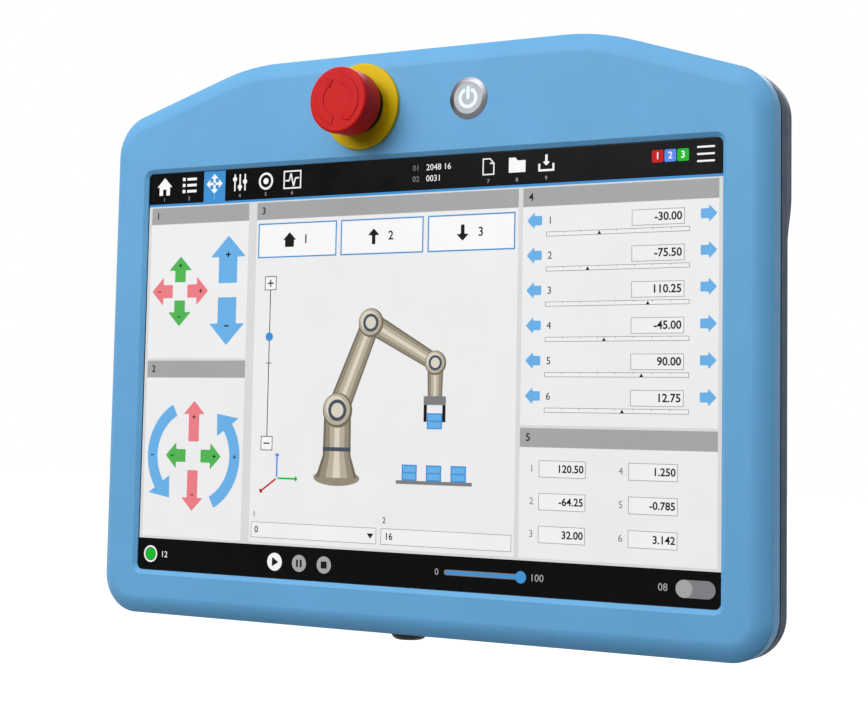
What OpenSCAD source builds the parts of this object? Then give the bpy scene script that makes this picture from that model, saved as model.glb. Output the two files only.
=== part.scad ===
// Handheld teach pendant for a robot: a moulded two-part casing round a touch display, with an
// emergency stop, a power button, a capped data port, a rear hanger and a cable gland.
// The casing is drawn from its window: X to the right, Y into the casing from its front face, and
// Z up from the middle of the window. to_hanger() then moves each piece so that the origin lies
// in the middle of the hanger slot's mouth.

/* [Casing] */
// Width of the casing
casing_w = 300; // [296:1:312]
// Height of the casing
casing_h = 231; // [228:1:240]
// Distance from the middle to where each top shoulder starts to fall
shoulder_x = 80.5; // [74:0.5:88]
// Fall of the top shoulders, in degrees
shoulder_angle = 17.5; // [14:0.5:19]
// Blend radius where the flat top meets a shoulder
shoulder_r = 95; // [70:5:110]
// Radius of the upper corners
top_corner_r = 18; // [17:0.5:22]
// Radius of the lower corners
bottom_corner_r = 16; // [16:0.5:20]
// Thickness of the side walls
wall = 3; // [2.5:0.1:3]
// Thickness of the front wall
front_wall = 3; // [2.8:0.1:3.4]
// Thickness of the rear wall
rear_wall = 2.5; // [2:0.1:2.8]
// Depth of the front cover, from its face to the parting line
front_depth = 10; // [9.5:0.1:10.5]
// Width of the sloping border round the front face
border_w = 7.5; // [7:0.1:8]
// Depth that the border falls to the casing's side
border_d = 3.3; // [3:0.1:3.5]
// Angle of the border's straight part, in degrees
border_slope = 30; // [29:1:32]
// Depth of the lower casing, from the front face to the back
lower_depth = 26; // [25.5:0.1:27]
// Depth of the upper casing, where the buttons sit
upper_depth = 33; // [33:0.1:35]
// Depth at which the lower casing starts to round towards its back
lower_side_depth = 16.3; // [15.5:0.1:17]
// Depth at which the upper casing starts to round towards its back
upper_side_depth = 21; // [20:0.1:22]
// How far the thick part's sides draw in towards its back
upper_draft = 0.5; // [0.2:0.1:0.8]
// Height over which the thick part's sides run out into the lower casing
run_out = 20; // [14:1:20]
// Depth at which the thick part's sides reach their full height
run_out_y = 25; // [24:0.5:26]
// Width of the rounding behind both sides
rear_round_w = 12; // [9:0.5:12]
// Height of the thick upper part, from the casing's top edge down
upper_h = 80.2; // [78:0.1:82]
// Width of the shadow gap at the parting line
shadow_gap = 0.5; // [0.3:0.1:0.6]
// Depth of the shadow gap at the parting line
shadow_depth = 0.7; // [0.5:0.1:0.9]

/* [Window] */
// Distance from the window to each side of the casing
side_rim = 18.5; // [18:0.1:20]
// Distance from the window up to the casing's top edge
top_band = 43.7; // [43:0.1:45]
// Distance from the window down to the casing's lower edge
bottom_rim = 18.3; // [18:0.1:19]
// Radius of the window's corners
window_r = 2.5; // [2:0.5:4]
// Width and depth of the bevel round the window
window_bevel = 1; // [0.6:0.1:1.2]
// Thickness of the rim that holds the glass from the front
rim_t = 1.6; // [1.4:0.1:1.8]

/* [Display] */
// Reach of the touch glass past each edge of the window
glass_lap = 6; // [4.5:0.1:6]
// Thickness of the touch glass
glass_t = 2; // [1.8:0.1:2.2]
// Thickness of the gasket in front of the glass
glass_gasket_t = 0.4; // [0.3:0.1:0.5]
// Thickness of the foam gasket between the glass and the display panel
foam_t = 0.5; // [0.4:0.1:0.7]
// Reach of the display panel past each side of the window
panel_side_lap = 7.3; // [6.5:0.1:7.4]
// Reach of the display panel past the window's upper and lower edge
panel_end_lap = 5.7; // [4.5:0.1:5.9]
// Thickness of the display panel
panel_t = 6.4; // [6:0.1:6.6]
// Dark border of the display at each side of the window
lit_side_border = 1; // [0.5:0.1:2]
// Dark border of the display at the window's upper and lower edge
lit_end_border = 2.9; // [1.5:0.1:4.5]
// Thickness of the sheet steel chassis behind the display
chassis_t = 1; // [0.8:0.1:1.2]

/* [Main board] */
// Width of the main board
board_w = 150; // [140:1:160]
// Height of the main board
board_h = 100; // [96:1:104]
// Thickness of the main board
board_t = 1.6; // [1.2:0.1:1.8]
// Distance of the main board's middle to the right of the window's middle
board_x = 20; // [10:1:30]
// Height of the standoffs under the main board
standoff_h = 4; // [3.5:0.1:4.2]
// Height of the tallest parts on the main board
board_part_h = 4.2; // [3:0.1:4.4]

/* [Emergency stop] */
// Distance of the emergency stop to the left of the middle
stop_x = 22.3; // [20:0.1:30]
// Distance of both buttons below the casing's top edge
button_drop = 22.1; // [21:0.1:23]
// Radius of the yellow disc
stop_disc_r = 17.5; // [16:0.1:18]
// Thickness of the yellow disc
stop_disc_t = 1.5; // [1.2:0.1:1.8]
// Radius of the red head at its front rim
stop_head_r = 13.3; // [12.5:0.1:14]
// Height of the red head's face over the front face
stop_reach = 18.6; // [17.5:0.1:19]
// Radius of the collar under the red head
stop_collar_r = 10.8; // [10:0.1:11]
// Height of the collar over the disc
stop_collar_h = 6; // [5.5:0.1:6.3]
// Radius of the threaded barrel that goes through the front wall
stop_barrel_r = 8; // [7.5:0.1:8.2]
// Radius of the sliding shaft
stop_shaft_r = 4; // [3.8:0.1:4.4]
// Travel of the head when it is struck
stop_travel = 4.5; // [4:0.1:4.6]
// Width and height of the contact block behind the front wall
stop_block_w = 20; // [18:0.5:21]

/* [Power button] */
// Distance of the power button to the right of the middle
power_x = 26.8; // [25:0.1:34]
// Radius of the metal ring
power_ring_r = 8.3; // [8.1:0.1:8.8]
// Height of the metal ring over the front face
power_ring_h = 0.8; // [0.7:0.1:1.2]
// Radius of the pressed disc
power_cap_r = 6.3; // [6:0.1:6.4]
// Radius of the threaded barrel
power_barrel_r = 7; // [7:0.1:7.2]
// Travel of the pressed disc
power_travel = 1; // [0.6:0.1:1.2]
// Depth of the switch behind the front face
power_depth = 24; // [22:0.5:25]

/* [Rear fittings] */
// Width of the hanger slot
hanger_w = 70; // [60:1:80]
// Gap of the hanger slot, front to back
hanger_gap = 4.5; // [4.5:0.1:4.6]
// Height of the hanger slot
hanger_h = 12; // [10:0.5:12.5]
// Thickness of the wall round the hanger slot
hanger_wall = 2.5; // [2.2:0.1:2.5]
// Width of each grip pad
grip_w = 34; // [28:1:36]
// Height of each grip pad
grip_h = 92; // [80:1:96]
// Depth of the recess that each grip pad sits in
grip_recess = 1; // [0.8:0.1:1.1]
// Height of the ribs on the grip pads over the casing's back
grip_rib_h = 1.2; // [0.8:0.1:1.5]
// Distance from each side of the casing to its grip pad
grip_margin = 18; // [16:1:20]

/* [Cable gland] */
// Distance of the gland to the left of the middle
gland_x = 6.5; // [0:0.5:10]
// Depth of the gland's axis behind the front face
gland_y = 18.5; // [18.4:0.1:18.8]
// Radius of the gland's domed nose
gland_nose_r = 7.8; // [7.4:0.1:7.8]
// Reach of the domed nose below the casing
gland_nose_h = 4; // [4:0.1:6]
// Radius of the gland's threaded barrel
gland_barrel_r = 5.2; // [5:0.1:5.4]
// Radius of the passage for the cable
gland_bore_r = 4; // [3.5:0.1:4.2]

/* [Data port] */
// Distance of the data port's middle below the casing's top edge
port_drop = 51.2; // [48:0.1:54]
// Width of the socket's shell, up and down the side
port_w = 13.1; // [12.5:0.1:13.5]
// Thickness of the socket's shell, front to back
port_t = 5.7; // [5.4:0.1:5.8]
// Thickness of the cap over the port
cap_t = 1.6; // [1.4:0.1:1.8]
// Border of the cap round the socket
cap_border = 2.4; // [2:0.1:2.4]

/* [Fasteners] */
// Radius of the casing screws' shanks
screw_r = 1.5; // [1.3:0.1:1.6]
// Radius of the casing screws' heads
screw_head_r = 2.8; // [2.5:0.1:2.8]
// Height of the casing screws' heads
screw_head_h = 2.2; // [1.8:0.1:2.4]
// Length of the casing screws' shanks
screw_length = 11.5; // [10.5:0.1:11.6]

/* [Hidden] */
$fn = 64;

eps = 0.01;             // overlap of a cutting tool past the face it cuts
fit = 0.05;             // radial gap of a shaft in its bore
gap = 0.3;              // gap between moving pieces
round_steps = 7;        // steps in each rounded edge
border_steps = 5;
run_out_steps = 4;

// Window and what lies behind it
window_w = casing_w - 2 * side_rim;
window_h = casing_h - top_band - bottom_rim;
glass_w = window_w + 2 * glass_lap;
glass_h = window_h + 2 * glass_lap;
panel_w = window_w + 2 * panel_side_lap;
panel_h = window_h + 2 * panel_end_lap;
lit_w = window_w - 2 * lit_side_border;
lit_h = window_h - 2 * lit_end_border;

// Casing outline
half_w = casing_w / 2;
bottom_z = -window_h / 2 - bottom_rim;
top_z = bottom_z + casing_h;
upper_edge_z = top_z - upper_h;
shoulder_c = [shoulder_x - shoulder_r * tan(shoulder_angle / 2), top_z - shoulder_r];
top_corner_x = half_w - top_corner_r;
top_corner_z = top_z - (top_corner_x - shoulder_x) * tan(shoulder_angle)
    - top_corner_r / cos(shoulder_angle);

// Layers behind the window
glass_y = rim_t + glass_gasket_t;
foam_y = glass_y + glass_t;
panel_y = foam_y + foam_t;
chassis_y = panel_y + panel_t;
standoff_y = chassis_y + chassis_t;
board_y = standoff_y + standoff_h;
parts_y = board_y + board_t;
lower_inside_y = lower_depth - rear_wall;
upper_inside_y = upper_depth - rear_wall;

// Buttons
button_z = top_z - button_drop;
collar_y = -stop_disc_t - stop_collar_h;
stop_nut_t = 3.5;
stop_barrel_end = 11;
stop_block_end = upper_inside_y - 2.5;
head_clear = 0.9;       // from the struck head to the disc and the collar
head_skirt_y = -stop_disc_t - stop_travel - head_clear;
head_ceiling_y = collar_y - stop_travel - head_clear;

// Hanger
hanger_y = lower_depth + hanger_gap / 2;
hanger_mouth_z = upper_edge_z - hanger_h;
origin_at = [0, hanger_y, hanger_mouth_z];

// Screw places, as [x, z] on the right half
boss_r = 3.4;           // bosses in the front cover
tube_r = 4.2;           // screw tubes in the rear cover
side_boss_x = half_w - wall - boss_r - gap;
low_boss_z = bottom_z + wall + boss_r + 1.1;
low_screw_inset = 22;   // from the casing's side to the lowest screws
side_screw_z = -10;
corner_screw_angle = 22;
corner_screw_r = 10.2;  // from the upper corner's middle to its screw
top_screw_x = 60;
top_screw_drop = 9.3;
screw_places = [
    [half_w - low_screw_inset, low_boss_z],
    [side_boss_x, side_screw_z],
    [top_corner_x + corner_screw_r * cos(corner_screw_angle),
        top_corner_z + corner_screw_r * sin(corner_screw_angle)],
    [top_screw_x, top_z - top_screw_drop]
];
screw_seat = 6;         // from the parting line to the screws' seats
screw_seat_y = front_depth + screw_seat;
screw_end_gap = 0.5;    // room past the end of each screw
chassis_boss_z = panel_h / 2 + boss_r + 1.7;
chassis_places = [[0.342 * panel_w, chassis_boss_z], [0.27 * panel_w, low_boss_z]];
chassis_screw_r = 1.3;
chassis_screw_head_h = 1.6;
chassis_screw_l = 5;
chassis_screw_y = chassis_y - chassis_screw_l;

// Seal and glass pocket
seal_inset = 1;
seal_w = 1;
seal_t = 1;
pocket_gap = 0.5;
glass_r = 3;
gasket_set_back = 1.5;  // from the window's edge to the gasket
foam_set_back = 2;      // from the lit area's edge to the foam
lit_recess = 0.4;

// Chassis
chassis_inset = 6;      // from the display panel's edges to the chassis's
chassis_w = panel_w - 2 * chassis_inset;
chassis_h = panel_h - 2 * chassis_inset;
ear_r = boss_r + 0.6;
ear_root_r = boss_r + 4;
flange_w = 0.55 * chassis_w;
flange_d = 5;
slot_w = 14;            // lightening slots
slot_h = 34;
slot_r = 4;
slot_inset = 18;
slot_z = 32;
port_arm_border = 4;        // arm that carries the port's board
port_arm_w = port_w + 2 * port_arm_border;
port_arm_end = wall + 2;    // from the casing's side to the arm's end
ribbon_slot_w = 4;          // width of the ribbon's slot past the ribbon
ribbon_slot_t = 4;

// Main board fittings
board_z = -5;
board_hole_inset = 5;
board_screw_r = 1.2;
board_screw_head_h = 1.5;
standoff_r = 3;
processor_w = 27;
processor_t = 1.6;
spreader_w = 40;
spreader_t = 1;
spreader_fins = 9;
fin_t = 1.2;
chip_size = [14, 10, 1.2];
chip_x = 32;
coil_w = 9;
coil_h = 3.5;
coil_x = -58;
capacitor_r = 3.2;
capacitor_x = 52;
socket_size = [10, 7];
ribbon_socket_d = 4;
ribbon_w = 24;
ribbon_t = 0.4;
ribbon_offset = 40;     // from the board's middle to the ribbon
ribbon_x = board_x + ribbon_offset;
ribbon_drop = 7;        // from the board's lower edge to the ribbon
ribbon_z = board_z - board_h / 2 - ribbon_drop;
lead_end_z = board_z + board_h / 2 + 1;
lead_offset = 12;       // from the emergency stop to its lead's socket
stop_socket_x = lead_offset - stop_x;
lead_y = parts_y + board_part_h / 2;
lead_r = 1.4;
lead_bend = 25;         // length over which a lead keeps straight before it bends

// Button fittings
disc_bevel = 0.4;
stop_tip_r = stop_shaft_r - 1;
stop_flange_r = stop_shaft_r + 1;
stop_flange_t = 2;
stop_pusher_r = 2.5;
stop_pusher_y = stop_block_end - 3.2 - stop_travel;
block_floor_t = 2.5;    // floor of the contact block's well
terminal_l = 4;
terminal_w = 0.8;
terminal_pitch = 4;
head_bore_y = head_ceiling_y - 2.6;
head_round = 1.2;
head_taper = 0.4;       // how much narrower the head is at its skirt
arrow_r = 8.25;
arrow_w = 3.3;
arrow_head_w = 4.5;
arrow_h = 0.25;
arrow_back = 76;        // angles where the arrow's back, neck and tip lie
arrow_neck = -54;
arrow_tip = -74;
nut_margin = 3;         // from a barrel to its nut's corners
power_face_y = 0.1 - power_ring_h;
power_lip = 0.2;        // width of the ring's flat lip round the disc
power_step_y = front_wall + 2;
power_nut_t = 3;
power_barrel_end = 13;
power_stem_r = power_cap_r - 2;
symbol_r = 0.66 * power_cap_r;
symbol_w = 1.35;
symbol_gap = 33;        // from the bar to each end of the symbol's ring, in degrees
symbol_t = 0.6;
power_well_end = power_barrel_end + power_travel + 2;

// Rear fittings and cable gland
hanger_block_w = hanger_w + 2 * hanger_wall + 4;
hanger_overlap = 14;    // how far the hanger's block reaches up into the thick part
hanger_block_h = hanger_h + hanger_overlap;
hanger_round = 3;
grip_x = half_w - grip_margin - grip_w / 2;
grip_gap = 28;          // from the thick part's edge down to the pads
grip_z = upper_edge_z - grip_gap - grip_h / 2;
grip_r = 8;
grip_ribs = 11;
grip_rib_w = 3;
grip_rib_inset = 4;
grip_proud = 0.6;       // height of a pad's face over the casing's back
gland_nut_room_r = gland_nose_r - 0.1;
gland_boss_r = gland_nut_room_r + rear_wall;
gland_boss_h = 17;
gland_nut_r = gland_barrel_r + 2;
gland_nut_h = 3.5;
gland_barrel_h = wall + gland_nut_h + 2;

// Data port
port_y = (front_depth + shadow_gap + upper_side_depth) / 2 + 0.2;
port_z = top_z - port_drop;
port_l = 14;
port_shell_t = 0.3;
tongue_w = port_w - 1.9;
tongue_t = 1.8;
tongue_set_back = 1.5;
port_board_border = 2;
cap_w = port_t + 3.6;
cap_h = port_w + 2 * cap_border;
cap_hinge_x = cap_t / 2;
cap_hinge_z = cap_t / 2 - cap_h / 2;
cap_pin_r = 0.45;
cap_pin_seat = 0.4;

module to_hanger() translate(-origin_at) children();

// Both sides of the casing
module both_sides() {
    children();
    mirror([1, 0, 0]) children();
}

// Extrudes a flat shape, drawn in X and Z, from one depth to another
module slab(from, to) translate([0, to, 0]) rotate([90, 0, 0]) linear_extrude(to - from) children();

// Turns a profile, drawn as [radius, depth], about an axis along Y
module turned(profile) rotate([-90, 0, 0]) rotate_extrude() polygon(profile);

module rod(r, from, to) translate([0, from, 0]) rotate([-90, 0, 0]) cylinder(r = r, h = to - from);

module hex_rod(r, from, to) translate([0, from, 0]) rotate([-90, 0, 0])
    cylinder(r = r, h = to - from, $fn = 6);

module rounded_rect(w, h, r) {
    square([w - 2 * r, h], center = true);
    square([w, h - 2 * r], center = true);
    for (x = [-1, 1], z = [-1, 1]) translate([x * (w / 2 - r), z * (h / 2 - r)]) circle(r);
}

module frame_shape(w, h, r, inner_w, inner_h, inner_r) {
    difference() {
        rounded_rect(w, h, r);
        rounded_rect(inner_w, inner_h, inner_r);
    }
}

// Points of an arc from one angle to another
function arc(centre, r, from, to, steps) =
    [for (i = [0 : steps]) let (a = from + (to - from) * i / steps)
        [centre[0] + r * cos(a), centre[1] + r * sin(a)]];

function mirrored(points) = [for (i = [len(points) - 1 : -1 : 0]) [-points[i][0], points[i][1]]];

// Right half of the casing's outline above a lower corner, set in by an inset
function upper_arcs(inset) = concat(
    arc([top_corner_x, top_corner_z], top_corner_r - inset, 0, 90 - shoulder_angle, 8),
    arc(shoulder_c, shoulder_r - inset, 90 - shoulder_angle, 90, 5));

function half_outline(inset, low_z) = concat(
    arc([half_w - bottom_corner_r, low_z + bottom_corner_r], bottom_corner_r - inset, -90, 0, 8),
    upper_arcs(inset));

function outline(inset, low_z) =
    let (half = half_outline(inset, low_z)) concat(half, mirrored(half));

// Rings of an edge rounding: [depth, inset] from a side at one depth to a face at another
function edge_rings(side_y, face_y, width, inset, steps = round_steps) =
    [for (i = [0 : steps]) let (a = 90 * i / steps)
        [side_y + (face_y - side_y) * sin(a), inset + width * (1 - cos(a))]];

// Rings of the front border: a straight slope from the side, then an arc that ends flush with the
// face, set back and in by the wall for the hollow
border_r = (border_w * tan(border_slope) - border_d)
    / (sin(border_slope) * tan(border_slope) - 1 + cos(border_slope));

function border_rings(depth, inset) = concat(
    [for (i = [0 : border_steps]) let (a = border_slope * i / border_steps)
        [depth + border_r * (1 - cos(a)), inset + border_w - border_r * sin(a)]],
    [[depth + border_d, inset]]);

// Rings of the thick part: [depth, inset, drop of the lower edge]. The drop lets its sides run out
// into the lower casing
function run_out_drop(depth) = depth < run_out_y
    ? run_out * pow((run_out_y - depth) / (run_out_y - lower_side_depth), 1.2) : 0;

function thick_rings() = [for (ring = concat(
    [for (i = [0 : run_out_steps - 1]) let (t = i / run_out_steps)
        [lower_side_depth + (upper_side_depth - lower_side_depth) * t, upper_draft * t]],
    edge_rings(upper_side_depth, upper_depth, rear_round_w - upper_draft, upper_draft)))
    [ring[0], ring[1], run_out_drop(ring[0])]];

function reversed(list) = [for (i = [len(list) - 1 : -1 : 0]) list[i]];

// Skin over outlines given as [depth, inset] or [depth, inset, drop], in order of depth
module loft(rings, low_z) {
    n = len(outline(0, low_z));
    last = (len(rings) - 1) * n;
    points = [for (ring = rings) let (drop = len(ring) == 3 ? ring[2] : 0)
        for (p = outline(ring[1], low_z - drop)) [p[0], ring[0], p[1]]];
    sides = [for (k = [0 : len(rings) - 2], i = [0 : n - 1])
        let (a = k * n + i, b = k * n + (i + 1) % n) each [[a, b, b + n], [a, b + n, a + n]]];
    front = [for (i = [n - 1 : -1 : 0]) i];
    back = [for (i = [0 : n - 1]) last + i];
    polyhedron(points = points, faces = concat([front], sides, [back]));
}

module at_screws() both_sides() for (p = screw_places) translate([p[0], 0, p[1]]) children();

module at_chassis_screws() both_sides() for (p = chassis_places) translate([p[0], 0, p[1]]) children();

module at_stop() translate([-stop_x, 0, button_z]) children();

module at_power() translate([power_x, 0, button_z]) children();

// Moulded front cover: a lofted shell with a sloping border round its face, the bevelled window with its
// glass pocket behind it, the button holes, the seal groove and the screw bosses
module front_cover() color([0.44, 0.68, 0.86]) to_hanger() difference() {
    union() {
        difference() {
            loft(concat(border_rings(0, 0), [[front_depth, 0]]), bottom_z);
            loft(concat(border_rings(front_wall, wall), [[front_depth + 1, wall]]), bottom_z);
        }
        at_screws() rod(boss_r, front_wall - eps, front_depth);
        at_chassis_screws() rod(boss_r, front_wall - eps, chassis_y);
    }
    slab(rim_t, front_wall + eps) rounded_rect(glass_w + 2 * pocket_gap, glass_h + 2 * pocket_gap, glass_r);
    slab(-eps, rim_t + eps) rounded_rect(window_w, window_h, window_r);
    hull() {
        slab(-eps, 0) rounded_rect(window_w + 2 * window_bevel, window_h + 2 * window_bevel,
            window_r + window_bevel, $fn = 32);
        slab(window_bevel - eps, window_bevel) rounded_rect(window_w, window_h, window_r, $fn = 32);
    }
    at_stop() rod(stop_barrel_r + fit, -1, front_wall + 1);
    at_power() rod(power_barrel_r + fit, -1, front_wall + 1);
    at_screws() rod(screw_r + fit, screw_seat_y - screw_length - screw_end_gap, front_depth + eps);
    at_chassis_screws() rod(chassis_screw_r + fit, chassis_screw_y - screw_end_gap, chassis_y + eps);
    slab(front_depth - seal_t, front_depth + eps) seal_shape();
}

// Ring that the casing seal and its groove share
module seal_shape() difference() {
    polygon(outline(seal_inset, bottom_z));
    polygon(outline(seal_inset + seal_w, bottom_z));
}

// Outer form of the rear cover, with its thicker upper part
module rear_form() {
    loft(concat([[front_depth, shadow_depth], [front_depth + shadow_gap, shadow_depth],
        [front_depth + shadow_gap + shadow_depth, 0]],
        edge_rings(lower_side_depth, lower_depth, rear_round_w, 0)), bottom_z);
    loft(thick_rings(), upper_edge_z);
    hanger_block();
    gland_boss();
}

// Hollow of the rear cover, less the screw tubes that stand in it
module rear_hollow() difference() {
    union() {
        loft(concat([[front_depth - 1, wall]],
            edge_rings(lower_side_depth, lower_inside_y, rear_round_w, wall)), bottom_z);
        loft(concat([[front_depth, wall]],
            edge_rings(upper_side_depth, upper_inside_y, rear_round_w, wall)), upper_edge_z);
        translate([-gland_x, gland_y, bottom_z + wall])
            cylinder(r = gland_nut_room_r, h = gland_boss_h - wall);
    }
    at_screws() rod(tube_r, front_depth, upper_depth);
}

// Block under the upper part's edge that holds the hanger slot
module hanger_block() hull() {
    block_z = hanger_mouth_z + hanger_block_h / 2;
    translate([0, 0, block_z]) {
        slab(lower_depth - 1, upper_depth - hanger_round)
            rounded_rect(hanger_block_w, hanger_block_h, hanger_round, $fn = 32);
        slab(upper_depth - eps, upper_depth)
            rounded_rect(hanger_block_w - 2 * hanger_round, hanger_block_h - 2 * hanger_round, 1, $fn = 32);
    }
}

// Rounded boss that the cable gland screws into, behind the parting line
module gland_boss() intersection() {
    translate([-gland_x, gland_y, bottom_z]) {
        cylinder(r = gland_boss_r, h = gland_boss_h);
        translate([0, 0, gland_boss_h])
            cylinder(r1 = gland_boss_r, r2 = lower_depth - gland_y - 1, h = gland_boss_h / 2);
    }
    translate([-gland_x - gland_boss_r, front_depth + shadow_gap, bottom_z])
        cube([2 * gland_boss_r, lower_depth, 2 * gland_boss_h]);
}

module rear_cover() color([0.30, 0.33, 0.37]) to_hanger() difference() {
    rear_form();
    rear_hollow();
    at_screws() {
        rod(screw_head_r + gap, screw_seat_y, upper_depth + 1);
        rod(screw_r + gap, front_depth - 1, screw_seat_y + eps);
    }
    translate([-hanger_w / 2, lower_depth, hanger_mouth_z - eps])
        cube([hanger_w, hanger_gap, hanger_h + eps]);
    both_sides() translate([grip_x, 0, grip_z])
        slab(lower_depth - grip_recess, lower_depth + 1) rounded_rect(grip_w, grip_h, grip_r);
    translate([-gland_x, gland_y, bottom_z - eps]) cylinder(r = gland_barrel_r + fit, h = wall + 1);
    port_openings();
}

// Recess for the port cap, its finger scoop, the socket's way through the wall and the pin's holes
module port_openings() translate([-half_w, port_y, port_z]) {
    translate([-1, -cap_w / 2 - gap, -cap_h / 2 - gap])
        cube([cap_t + gap + 1, cap_w + 2 * gap, cap_h + 2 * gap]);
    translate([cap_t - 0.2, 0, cap_h / 2]) rotate([90, 0, 0])
        cylinder(r = cap_t + 1, h = cap_w - 2, center = true);
    translate([0, -port_t / 2 - fit, -port_w / 2 - fit])
        cube([wall + 1, port_t + 2 * fit, port_w + 2 * fit]);
    translate([cap_hinge_x, 0, cap_hinge_z]) rotate([90, 0, 0])
        cylinder(r = cap_pin_r + fit, h = cap_w + 2 * gap + 2 * cap_pin_seat, center = true);
}

module casing_seal() color([0.07, 0.07, 0.08]) to_hanger()
    slab(front_depth - seal_t, front_depth) seal_shape();

module casing_screws() color([0.55, 0.56, 0.58]) to_hanger() at_screws() difference() {
    union() {
        rod(screw_head_r, screw_seat_y, screw_seat_y + screw_head_h);
        rod(screw_r, screw_seat_y - screw_length, screw_seat_y);
    }
    hex_rod(screw_head_r / 2, screw_seat_y + screw_head_h / 2, screw_seat_y + screw_head_h + 1);
}

module glass_gasket() color([0.05, 0.05, 0.05]) to_hanger() slab(rim_t, glass_y)
    frame_shape(glass_w - 1, glass_h - 1, glass_r,
        window_w + 2 * gasket_set_back, window_h + 2 * gasket_set_back, window_r);

module touch_glass() color([0.03, 0.03, 0.035]) to_hanger()
    slab(glass_y, foam_y) rounded_rect(glass_w, glass_h, glass_r);

module foam_gasket() color([0.1, 0.1, 0.1]) to_hanger()
    slab(foam_y, panel_y)
    frame_shape(glass_w - 1, panel_h - 4, 1, lit_w + 2 * foam_set_back, lit_h + 2 * foam_set_back, 1);

module display_panel() color([0.75, 0.76, 0.78]) to_hanger() difference() {
    slab(panel_y, chassis_y) rounded_rect(panel_w, panel_h, 1);
    slab(panel_y - eps, panel_y + lit_recess) square([lit_w, lit_h], center = true);
}

// Sheet steel chassis: a plate with screw ears, lightening holes, bent-back flanges and a slot
// for the display's ribbon
module chassis() color([0.68, 0.70, 0.72]) to_hanger() {
    slab(chassis_y, standoff_y) difference() {
        union() {
            rounded_rect(chassis_w, chassis_h, slot_r);
            both_sides() for (p = chassis_places) hull() {
                translate(p) circle(ear_r);
                translate([p[0], p[1] * 0.85]) circle(ear_root_r);
            }
            translate([-half_w + port_arm_end, port_z - port_arm_w / 2])
                square([half_w - port_arm_end - chassis_w / 2 + slot_r, port_arm_w]);
        }
        both_sides() for (p = chassis_places) translate(p) circle(chassis_screw_r + gap);
        for (x = [-1, 1], z = [-1, 1]) translate([x * (chassis_w / 2 - slot_inset), z * slot_z])
            rounded_rect(slot_w, slot_h, slot_r);
        translate([ribbon_x, ribbon_z]) square([ribbon_w + ribbon_slot_w, ribbon_slot_t], center = true);
    }
    for (z = [-1, 1]) translate([0, 0, z * (chassis_h / 2 - chassis_t / 2)])
        slab(standoff_y, standoff_y + flange_d) square([flange_w, chassis_t], center = true);
}

module chassis_screws() color([0.72, 0.73, 0.75]) to_hanger() at_chassis_screws() difference() {
    union() {
        rod(2 * chassis_screw_r, standoff_y, standoff_y + chassis_screw_head_h);
        rod(chassis_screw_r, chassis_screw_y, standoff_y);
    }
    hex_rod(chassis_screw_r, standoff_y + chassis_screw_head_h / 2, standoff_y + chassis_screw_head_h + 1);
}

module at_board() translate([board_x, 0, board_z]) children();

module at_board_holes() at_board() for (x = [-1, 1], z = [-1, 1])
    translate([x * (board_w / 2 - board_hole_inset), 0, z * (board_h / 2 - board_hole_inset)]) children();

module board_standoffs() color([0.80, 0.68, 0.35]) to_hanger() at_board_holes() difference() {
    hex_rod(standoff_r, standoff_y, board_y);
    rod(board_screw_r + fit, standoff_y + 0.5, board_y + eps);
}

module main_board() color([0.05, 0.32, 0.18]) to_hanger() difference() {
    at_board() slab(board_y, parts_y) rounded_rect(board_w, board_h, 2);
    at_board_holes() rod(board_screw_r + gap, board_y - eps, parts_y + eps);
}

module board_screws() color([0.72, 0.73, 0.75]) to_hanger() at_board_holes() difference() {
    union() {
        rod(2 * board_screw_r, parts_y, parts_y + board_screw_head_h);
        rod(board_screw_r, standoff_y + 1, parts_y);
    }
    hex_rod(board_screw_r, parts_y + board_screw_head_h / 2, parts_y + board_screw_head_h + 1);
}

module processor() color([0.10, 0.10, 0.11]) to_hanger() at_board()
    slab(parts_y, parts_y + processor_t) rounded_rect(processor_w, processor_w, 1);

module heat_spreader() color([0.80, 0.81, 0.83]) to_hanger() at_board() {
    base_y = parts_y + processor_t;
    slab(base_y, base_y + spreader_t) square(spreader_w, center = true);
    for (i = [0 : spreader_fins - 1])
        translate([(i - (spreader_fins - 1) / 2) * spreader_w / spreader_fins, 0, 0])
            slab(base_y + spreader_t, parts_y + board_part_h) square([fin_t, spreader_w], center = true);
}

// Memory chips, coils and capacitors round the processor
module board_parts() color([0.16, 0.16, 0.17]) to_hanger() at_board() {
    for (x = [-1, 1], z = [-1, 0, 1]) translate([x * chip_x, 0, z * chip_size[0]])
        slab(parts_y, parts_y + chip_size[2]) square([chip_size[0], chip_size[1]], center = true);
    for (i = [-1.5 : 1.5]) translate([coil_x, 0, i * (coil_w + 4)])
        slab(parts_y, parts_y + coil_h) rounded_rect(coil_w, coil_w, 2);
    for (i = [0 : 4]) translate([capacitor_x + 3 * capacitor_r * (i % 2), 0, (2 - i) * 3.5 * capacitor_r])
        rod(capacitor_r, parts_y, parts_y + board_part_h);
}

// Sockets along the top edge for the buttons and the data port, and one at the foot for the display
module board_connectors() color([0.90, 0.88, 0.80]) to_hanger() {
    for (x = [stop_socket_x, power_x]) translate([x, 0, lead_end_z - socket_size[1] / 2])
        slab(parts_y, parts_y + board_part_h) square(socket_size, center = true);
    translate([ribbon_x, 0, board_z - board_h / 2 + 1 + ribbon_socket_d / 2])
        slab(parts_y, parts_y + 2.4) square([ribbon_w + 4, ribbon_socket_d], center = true);
}

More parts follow.
